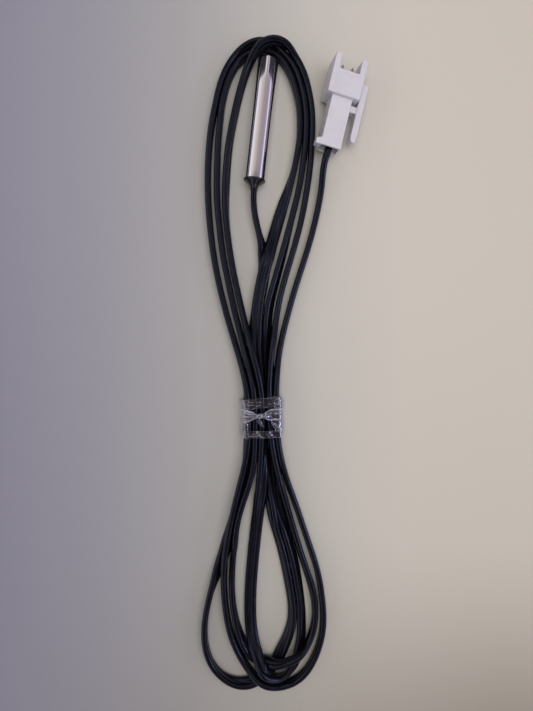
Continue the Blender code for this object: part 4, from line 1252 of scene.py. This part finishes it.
# The cable's section, two round cores joined by a web: wide along X, thick along Y.
def twinOutline():
    radius = cable["core"] / 2
    lobeTurn = cable["lobeTurn"]
    outline = []
    for lobe in (1, -1):
        for step in range(cable["lobePoints"]):
            angle = math.radians(-lobeTurn + 2 * lobeTurn * step / (cable["lobePoints"] - 1))
            across = cable["pitch"] / 2 + radius * math.cos(angle)
            thick = radius * math.sin(angle)
            nearWeb = (radius * cable["webFrom"] - across) / (radius * cable["webFade"])
            nearWeb = min(1, max(0, nearWeb))
            web = cable["waist"] / 2 * nearWeb * nearWeb * (3 - 2 * nearWeb)
            power = cable["webPower"]
            thick = math.copysign((abs(thick) ** power + web**power) ** (1 / power), thick)
            outline.append((lobe * across, lobe * thick))
    return outline


# Rings of the section along the settled line, with both ends closed and a UV map that runs
# round the cable and along it.
def cableMesh(centre, wide):
    route = evenly(np.column_stack((centre, wide)), cable["ringStep"])
    centre = route[:, :3]
    ahead = np.gradient(centre, axis=0)
    ahead /= np.linalg.norm(ahead, axis=1)[:, None]
    wide = route[:, 3:]
    wide -= ahead * (wide * ahead).sum(1)[:, None]
    wide /= np.linalg.norm(wide, axis=1)[:, None]
    thick = np.cross(wide, ahead)
    outline = np.array(twinOutline())
    points = centre[:, None, :] + wide[:, None, :] * outline[None, :, :1]
    points = points + thick[:, None, :] * outline[None, :, 1:]
    sides = len(outline)
    form = bmesh.new()
    uvLayer = form.loops.layers.uv.new("UVMap")
    rings = [[form.verts.new(hankFrame @ Vector(p)) for p in ring] for ring in points]
    for index in range(len(rings) - 1):
        for side in range(sides):
            after = (side + 1) % sides
            rear, front = rings[index], rings[index + 1]
            face = form.faces.new((rear[side], rear[after], front[after], front[side]))
            face.smooth = True
            turns = (side / sides, (side + 1) / sides)
            lengths = (index * cable["ringStep"], (index + 1) * cable["ringStep"])
            for loop, u, v in zip(face.loops, (0, 1, 1, 0), (0, 0, 1, 1)):
                loop[uvLayer].uv = (turns[u], lengths[v] * cable["uvPerMetre"])
    form.faces.new(list(reversed(rings[0])))
    form.faces.new(rings[-1])
    bmesh.ops.recalc_face_normals(form, faces=form.faces)
    return meshPiece("twinCable", form), [hankFrame @ Vector(p) for p in centre]


# The whole cable along its route. Gives the piece, its middle line, and the two cores' middle lines
# in the hank's frame.
def makeCable():
    toHank = hankFrame.inverted()
    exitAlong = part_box("potting")[0].y - cable["exitInset"]
    exitPlace = Vector((0, exitAlong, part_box("probe_tube")[1].z / 2))
    socket = connectorFrame()
    ends = [toHank @ exitPlace, toHank @ (exitPlace - Vector((0, cable["straight"], 0)))]
    startRoute = [(*place, 90) for place in ends]
    plugEnds = [toHank @ socket @ Vector((0, y, 0)) for y in (-cable["straight"], cable["plugInset"])]
    endRoute = [(*place, 90 - math.degrees(layout["connectorRoll"])) for place in plugEnds]
    route = smoothRoute(startRoute + probeLead + hankTurns + plugLead + endRoute, cable["step"])
    centre, wide = settle(route)
    piece, line = cableMesh(centre, wide)
    length = sum((b - a).length for a, b in zip(line, line[1:]))
    print("cable length", round(length, 4))
    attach(piece, "root")
    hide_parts("cable_probe_lead", "cable_hank", "cable_plug_lead")
    piece.data.materials.append(materials["black_pvc"])
    return piece, line, np.vstack((centre - wide / 2, centre + wide / 2))


# The clear film tie, in the hank's frame. A strip round the bundle is drawn into a knot on top,
# between two plain bands, with loose film at both sides.
tie = {
    "from": -0.0064,
    "to": 0.0068,
    "station": 0.0003,
    "window": 0.0006,  # how near to a station the cable counts
    "turns": 180,
    "supports": 720,
    "clear": 0.00008,
    "floor": 0.00005,
    "thick": 0.00004,
    "knot": (-0.0006, 0.0008),  # across and along
    "grids": {  # faces along and across each sheet
        "band": (200, 16),
        "strip": (240, 36),
        "flap": (40, 60),
        "corner": (40, 24),
        "tail": 10,
        "knot": (48, 24),
    },
}


# The tight skin round the bundled cable: a place on it for each station along and turn round it,
# with turn 0 on top and growing towards the right.
class BundleSkin:
    def __init__(self, cores):
        self.stations = np.arange(tie["from"], tie["to"], tie["station"])
        self.turns = np.linspace(-math.pi, math.pi, tie["turns"] + 1)
        sections = [self.section(cores, along) for along in self.stations]
        middles = [((x.min() + x.max()) / 2, (z.min() + z.max()) / 2) for x, z in sections]
        self.middle = np.mean(middles, axis=0)
        self.reach = np.array([self.polar(across, height) for across, height in sections])

    # The convex outline round the cores near one station.
    def section(self, cores, along):
        angles = np.linspace(0, 2 * math.pi, tie["supports"], endpoint=False)
        near = cores[np.abs(cores[:, 1] - along) < tie["window"]]
        reach = (near[:, :1] * np.cos(angles) + near[:, 2:] * np.sin(angles)).max(0)
        reach += cable["core"] / 2 + tie["clear"]
        slope = (np.roll(reach, -1) - np.roll(reach, 1)) / (2 * (angles[1] - angles[0]))
        across = reach * np.cos(angles) - slope * np.sin(angles)
        return across, np.maximum(reach * np.sin(angles) + slope * np.cos(angles), tie["floor"])

    # How far an outline lies from the middle at each turn.
    def polar(self, across, height):
        side, up = across - self.middle[0], height - self.middle[1]
        turn, far = np.arctan2(side, up), np.hypot(side, up)
        order = np.argsort(turn)
        return np.interp(self.turns, turn[order], far[order], period=2 * math.pi)

    def place(self, along, turn, lift=0.0):
        turn = (turn + math.pi) % (2 * math.pi) - math.pi
        row = min(max((along - self.stations[0]) / tie["station"], 0), len(self.stations) - 1.001)
        column = (turn + math.pi) / (2 * math.pi) * tie["turns"]
        i, j = int(row), min(int(column), tie["turns"] - 1)
        u, v = row - i, column - j
        near = self.reach[i, j] * (1 - v) + self.reach[i, j + 1] * v
        after = self.reach[i + 1, j] * (1 - v) + self.reach[i + 1, j + 1] * v
        far = near * (1 - u) + after * u + lift
        height = self.middle[1] + far * math.cos(turn)
        return Vector((self.middle[0] + far * math.sin(turn), along, max(height, tie["floor"])))

    # The turn at which the skin lies at this place across, on its upper half.
    def turnAt(self, across, along=0.0):
        turns = np.radians(np.arange(-110, 111, 2))
        return float(np.interp(across, [self.place(along, turn).x for turn in turns], turns))


# 1 on a ridge's crest, falling off to both sides.
def ridge(value, place, half):
    return math.exp(-(((value - place) / half) ** 2))


def blend(value, start, end):
    share = min(max((value - start) / (end - start), 0), 1)
    return share * share * (3 - 2 * share)


# Slow waves that keep the film from lying dead flat: how fast they run round and along, where they
# start, and how high they are.
filmWaves = [(7.0, 900, 0.0, 0.5), (12.0, -1500, 1.3, 0.3), (23.0, 2100, 0.4, 0.2)]


def waves(turn, along):
    total = 0.0
    for rate, slant, start, high in filmWaves:
        total += high * math.sin(turn * rate + along * slant + start)
    return total


# A sheet through the places that spot gives for each u along it and v across it, from 0 to 1, each
# with how creased it is there.
def addSheet(form, layer, columns, rows, spot, closed=False):
    grid = []
    for column in range(columns + (0 if closed else 1)):
        line = []
        for row in range(rows + 1):
            place, crease = spot(column / columns, row / rows)
            corner = form.verts.new(place)
            corner[layer] = min(max(crease, 0), 1)
            line.append(corner)
        grid.append(line)
    for column in range(columns):
        here, after = grid[column], grid[(column + 1) % len(grid)]
        for row in range(rows):
            face = form.faces.new((here[row], here[row + 1], after[row + 1], after[row]))
            face.smooth = True


# The upper and lower plain band, as (along at left, along at right, half width, lift).
bands = [(0.00345, 0.00420, 0.00120, 0.00006), (-0.00375, -0.00365, 0.00085, 0.00008)]
band = {
    "clear": 0.00003,
    "wave": 0.00004,
    "sway": 0.05,
    "edge": 0.05,
    "edgeCrease": 0.34,
    "sideHalf": 0.25,
    "sideLift": 0.00025,
    "sideCrease": 0.05,
}


def bandSpots(skin, left, right, half, lift):
    def spot(u, v):
        turn = (u * 2 - 1) * math.pi
        along = left + (right - left) * (0.5 + 0.5 * math.sin(turn))
        along += (v * 2 - 1) * half * (1 + band["sway"] * math.sin(turn * 5 + v * 3))
        height = lift + band["wave"] * waves(turn, along) + band["clear"]
        edge = max(ridge(v, 0, band["edge"]), ridge(v, 1, band["edge"]))
        loose = ridge(abs(math.sin(turn)), 1, band["sideHalf"])
        place = skin.place(along, turn, height + band["sideLift"] * loose)
        return place, band["edgeCrease"] * edge + band["sideCrease"] * loose
    return spot


# The strip that is twisted into the knot, narrow there and spread at both sides. Folds run along it,
# as (place across from -1 to 1, half width, how high).
strip = {
    "knotHalf": 0.00030,
    "left": {
        "widening": 0.00138,
        "shift": -0.00008,
        "folds": [(0.82, 0.16, 1.0), (-0.10, 0.12, 0.9), (-0.88, 0.14, 1.0), (0.42, 0.09, 0.6)],
    },
    "right": {
        "widening": 0.00125,
        "shift": 0.00030,
        "folds": [(0.86, 0.15, 1.1), (-0.86, 0.13, 0.9), (0.15, 0.12, 0.35)],
    },
    "spreadBy": 0.30,
    "calmBy": 0.62,
    "clear": 0.00010,
    "knotLift": 0.00042,
    "foldHeight": 0.00030,
    "foldShare": (0.35, 0.65),  # everywhere, and more near the knot
    "foldCrease": (0.30, 0.70),
    "creased": 0.85,
    "calmCrease": 0.16,
    "knotCrease": 0.25,
    "wave": 0.00006,
    "loop": (0.45, 0.12, 0.00035),
    "sway": 0.00012,
}


def stripSpots(skin):
    knotAcross, knotAlong = tie["knot"]
    knotTurn = skin.turnAt(knotAcross, knotAlong)
    loopAt, loopHalf, loopLift = strip["loop"]

    def spot(u, v):
        turn = knotTurn + (u * 2 - 1) * math.pi
        far, t = abs(u * 2 - 1), v * 2 - 1
        spread = blend(far, 0.0, strip["spreadBy"])
        calm = 1 - blend(far, strip["spreadBy"], strip["calmBy"])
        wing = strip["left" if u < 0.5 else "right"]
        folds = sum(high * ridge(t, place, half) for place, half, high in wing["folds"])
        height = strip["clear"] + strip["knotLift"] * (1 - spread)
        least, more = strip["foldShare"]
        height += strip["foldHeight"] * folds * (least + more * calm)
        height += strip["wave"] * waves(turn * 1.7, v * 0.002) + loopLift * ridge(far, loopAt, loopHalf)
        along = knotAlong + wing["shift"] * spread
        along += t * (strip["knotHalf"] + wing["widening"] * spread)
        along += strip["sway"] * math.sin(turn * 4 + t * 2) * spread
        least, more = strip["foldCrease"]
        crease = (least + more * calm) * folds * strip["creased"] + strip["calmCrease"] * calm
        crease += strip["knotCrease"] * (1 - spread)
        return skin.place(along, turn, height), crease
    return spot


# Loose film that stands off the bundle's sides, as (side, along from, along to, bulge, start of its
# waves). It runs from one turn to another, in degrees. Its crumples are waves, as (rate along, rate
# round, times the start, how high).
flaps = [(-1, -0.0047, 0.0046, 0.00085, 0.3), (1, -0.0030, 0.0049, 0.00075, 1.9)]
flap = {
    "turns": (52, 136),
    "clear": 0.00012,
    "crumple": 0.00011,
    "crumples": [(11, 5, 1.0, 1.0), (23, -9, 2.1, 0.7), (37, 17, 1.0, 0.5)],
    "edge": 0.03,
    "edgeCrease": 0.20,
    "sharp": 1.15,  # crumples above this height are creased
    "crumpleCrease": 0.30,
}


def flapSpots(skin, side, start, end, bulge, phase):
    first, last = flap["turns"]

    def spot(u, v):
        turn = side * math.radians(first + (last - first) * u)
        off = math.sin(math.pi * u) ** 0.7
        crumple = 0.0
        for along, aside, times, high in flap["crumples"]:
            crumple += high * math.sin(v * along + u * aside + times * phase)
        swell = bulge * (0.75 + 0.25 * math.sin(v * 7 + phase)) + flap["crumple"] * crumple
        edge = max(ridge(v, 0, flap["edge"]), ridge(v, 1, flap["edge"]))
        crease = flap["edgeCrease"] * edge + flap["crumpleCrease"] * max(0, crumple - flap["sharp"]) * off
        return skin.place(start + (end - start) * v, turn, flap["clear"] + off * swell), crease
    return spot


# A flat corner of film below the knot on the right, with a slanted left border.
corner = {
    "from": -0.00285,
    "length": 0.0026,
    "borderNear": 0.0029,
    "borderSlant": 0.0012,
    "farTurn": 96,
    "clear": 0.00022,
    "wave": 0.00008,
    "edge": 0.05,
    "border": 0.04,
    "crease": 0.20,
    "edgeCrease": 0.25,
}


def cornerSpots(skin):
    def spot(u, v):
        along = corner["from"] + corner["length"] * v
        border = skin.turnAt(corner["borderNear"] - corner["borderSlant"] * v, along)
        turn = border + (math.radians(corner["farTurn"]) - border) * u
        ripple = math.sin(u * 9 + v * 4) + math.sin(v * 8 - u * 5)
        edge = max(ridge(v, 0, corner["edge"]), ridge(u, 0, corner["border"]), ridge(v, 1, corner["edge"]))
        place = skin.place(along, turn, corner["clear"] + corner["wave"] * ripple)
        return place, corner["crease"] + corner["edgeCrease"] * edge
    return spot


# The strip's curled end below the knot, along a line of places across and along.
tail = {
    "line": [
        (-0.00075, 0.00045), (-0.00115, -0.00030), (-0.00095, -0.00095),
        (-0.00045, -0.00155), (0.00030, -0.00195),
    ],
    "step": 0.00008,
    "width": (0.00030, 0.00055),  # at its ends, and how much more between them
    "clear": 0.00025,
    "arch": 0.00040,
    "rootLift": 0.00015,
    "crease": 0.10,
    "edgeCrease": 0.75,
    "borders": (0.16, 0.12, 0.7),  # inner and outer, and how much less the outer one is creased
}


def tailSpots(skin, line):
    def spot(u, v):
        index = min(int(u * (len(line) - 1)), len(line) - 2)
        here, after = line[index], line[index + 1]
        ahead = Vector((after[0] - here[0], after[1] - here[1])).normalized()
        ends, more = tail["width"]
        width = ends + more * math.sin(math.pi * min(u * 1.1, 1))
        across = here[0] - ahead.y * width * v
        along = here[1] + ahead.x * width * v
        height = tail["clear"] + tail["arch"] * math.sin(math.pi * v) * (1 - 0.5 * u)
        height += tail["rootLift"] * (1 - u)
        inner, outer, less = tail["borders"]
        edge = max(ridge(v, 0, inner), less * ridge(v, 1, outer))
        place = skin.place(along, skin.turnAt(across, along), height)
        return place, tail["edgeCrease"] * edge + tail["crease"]
    return spot


# The knot, a small lump with twisted ridges: half sizes across, along and high.
knot = {
    "halves": (0.00085, 0.00062, 0.00048),
    "rise": 0.000336,
    "ridges": 3,
    "twist": 5.0,
    "swell": 0.16,
    "crease": 0.28,
    "ridgeCrease": 0.42,
}


def knotSpots(skin):
    across, along = tie["knot"]
    middle = skin.place(along, skin.turnAt(across, along)) + Vector((0, 0, knot["rise"]))
    wide, deep, tall = knot["halves"]

    def spot(u, v):
        turn, rise = u * 2 * math.pi, (v - 0.5) * math.pi
        twist = math.sin(knot["ridges"] * turn + knot["twist"] * math.sin(rise))
        swell = 1 + knot["swell"] * twist
        offset = Vector((
            math.sin(rise) * wide,
            math.cos(rise) * math.cos(turn) * deep,
            math.cos(rise) * math.sin(turn) * tall,
        ))
        return middle + offset * swell, knot["crease"] + knot["ridgeCrease"] * max(twist, 0)
    return spot


def makeTie(cores):
    skin = BundleSkin(cores)
    form = bmesh.new()
    layer = form.verts.layers.float.new("crease")
    grids = tie["grids"]
    for places in bands:
        addSheet(form, layer, *grids["band"], bandSpots(skin, *places), closed=True)
    addSheet(form, layer, *grids["strip"], stripSpots(skin), closed=True)
    for places in flaps:
        addSheet(form, layer, *grids["flap"], flapSpots(skin, *places))
    addSheet(form, layer, *grids["corner"], cornerSpots(skin))
    tailLine = smoothRoute([(*place, 0.0, 0.0) for place in tail["line"]], tail["step"])
    addSheet(form, layer, len(tailLine) - 1, grids["tail"], tailSpots(skin, tailLine))
    addSheet(form, layer, *grids["knot"], knotSpots(skin), closed=True)
    bmesh.ops.remove_doubles(form, verts=form.verts, dist=samePlace)
    form.transform(hankFrame)
    bmesh.ops.recalc_face_normals(form, faces=form.faces)
    piece = meshPiece("filmTie", form)
    applyModifier(piece, "SOLIDIFY", thickness=tie["thick"], offset=0.0)
    piece.data.materials.append(materials["clear_film"])
    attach(piece, "root")
    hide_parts("tie_strip")
    return piece


cablePiece, cableLine, coreLines = makeCable()
print("cable made")
tiePiece = makeTie(coreLines)
print("tie made")
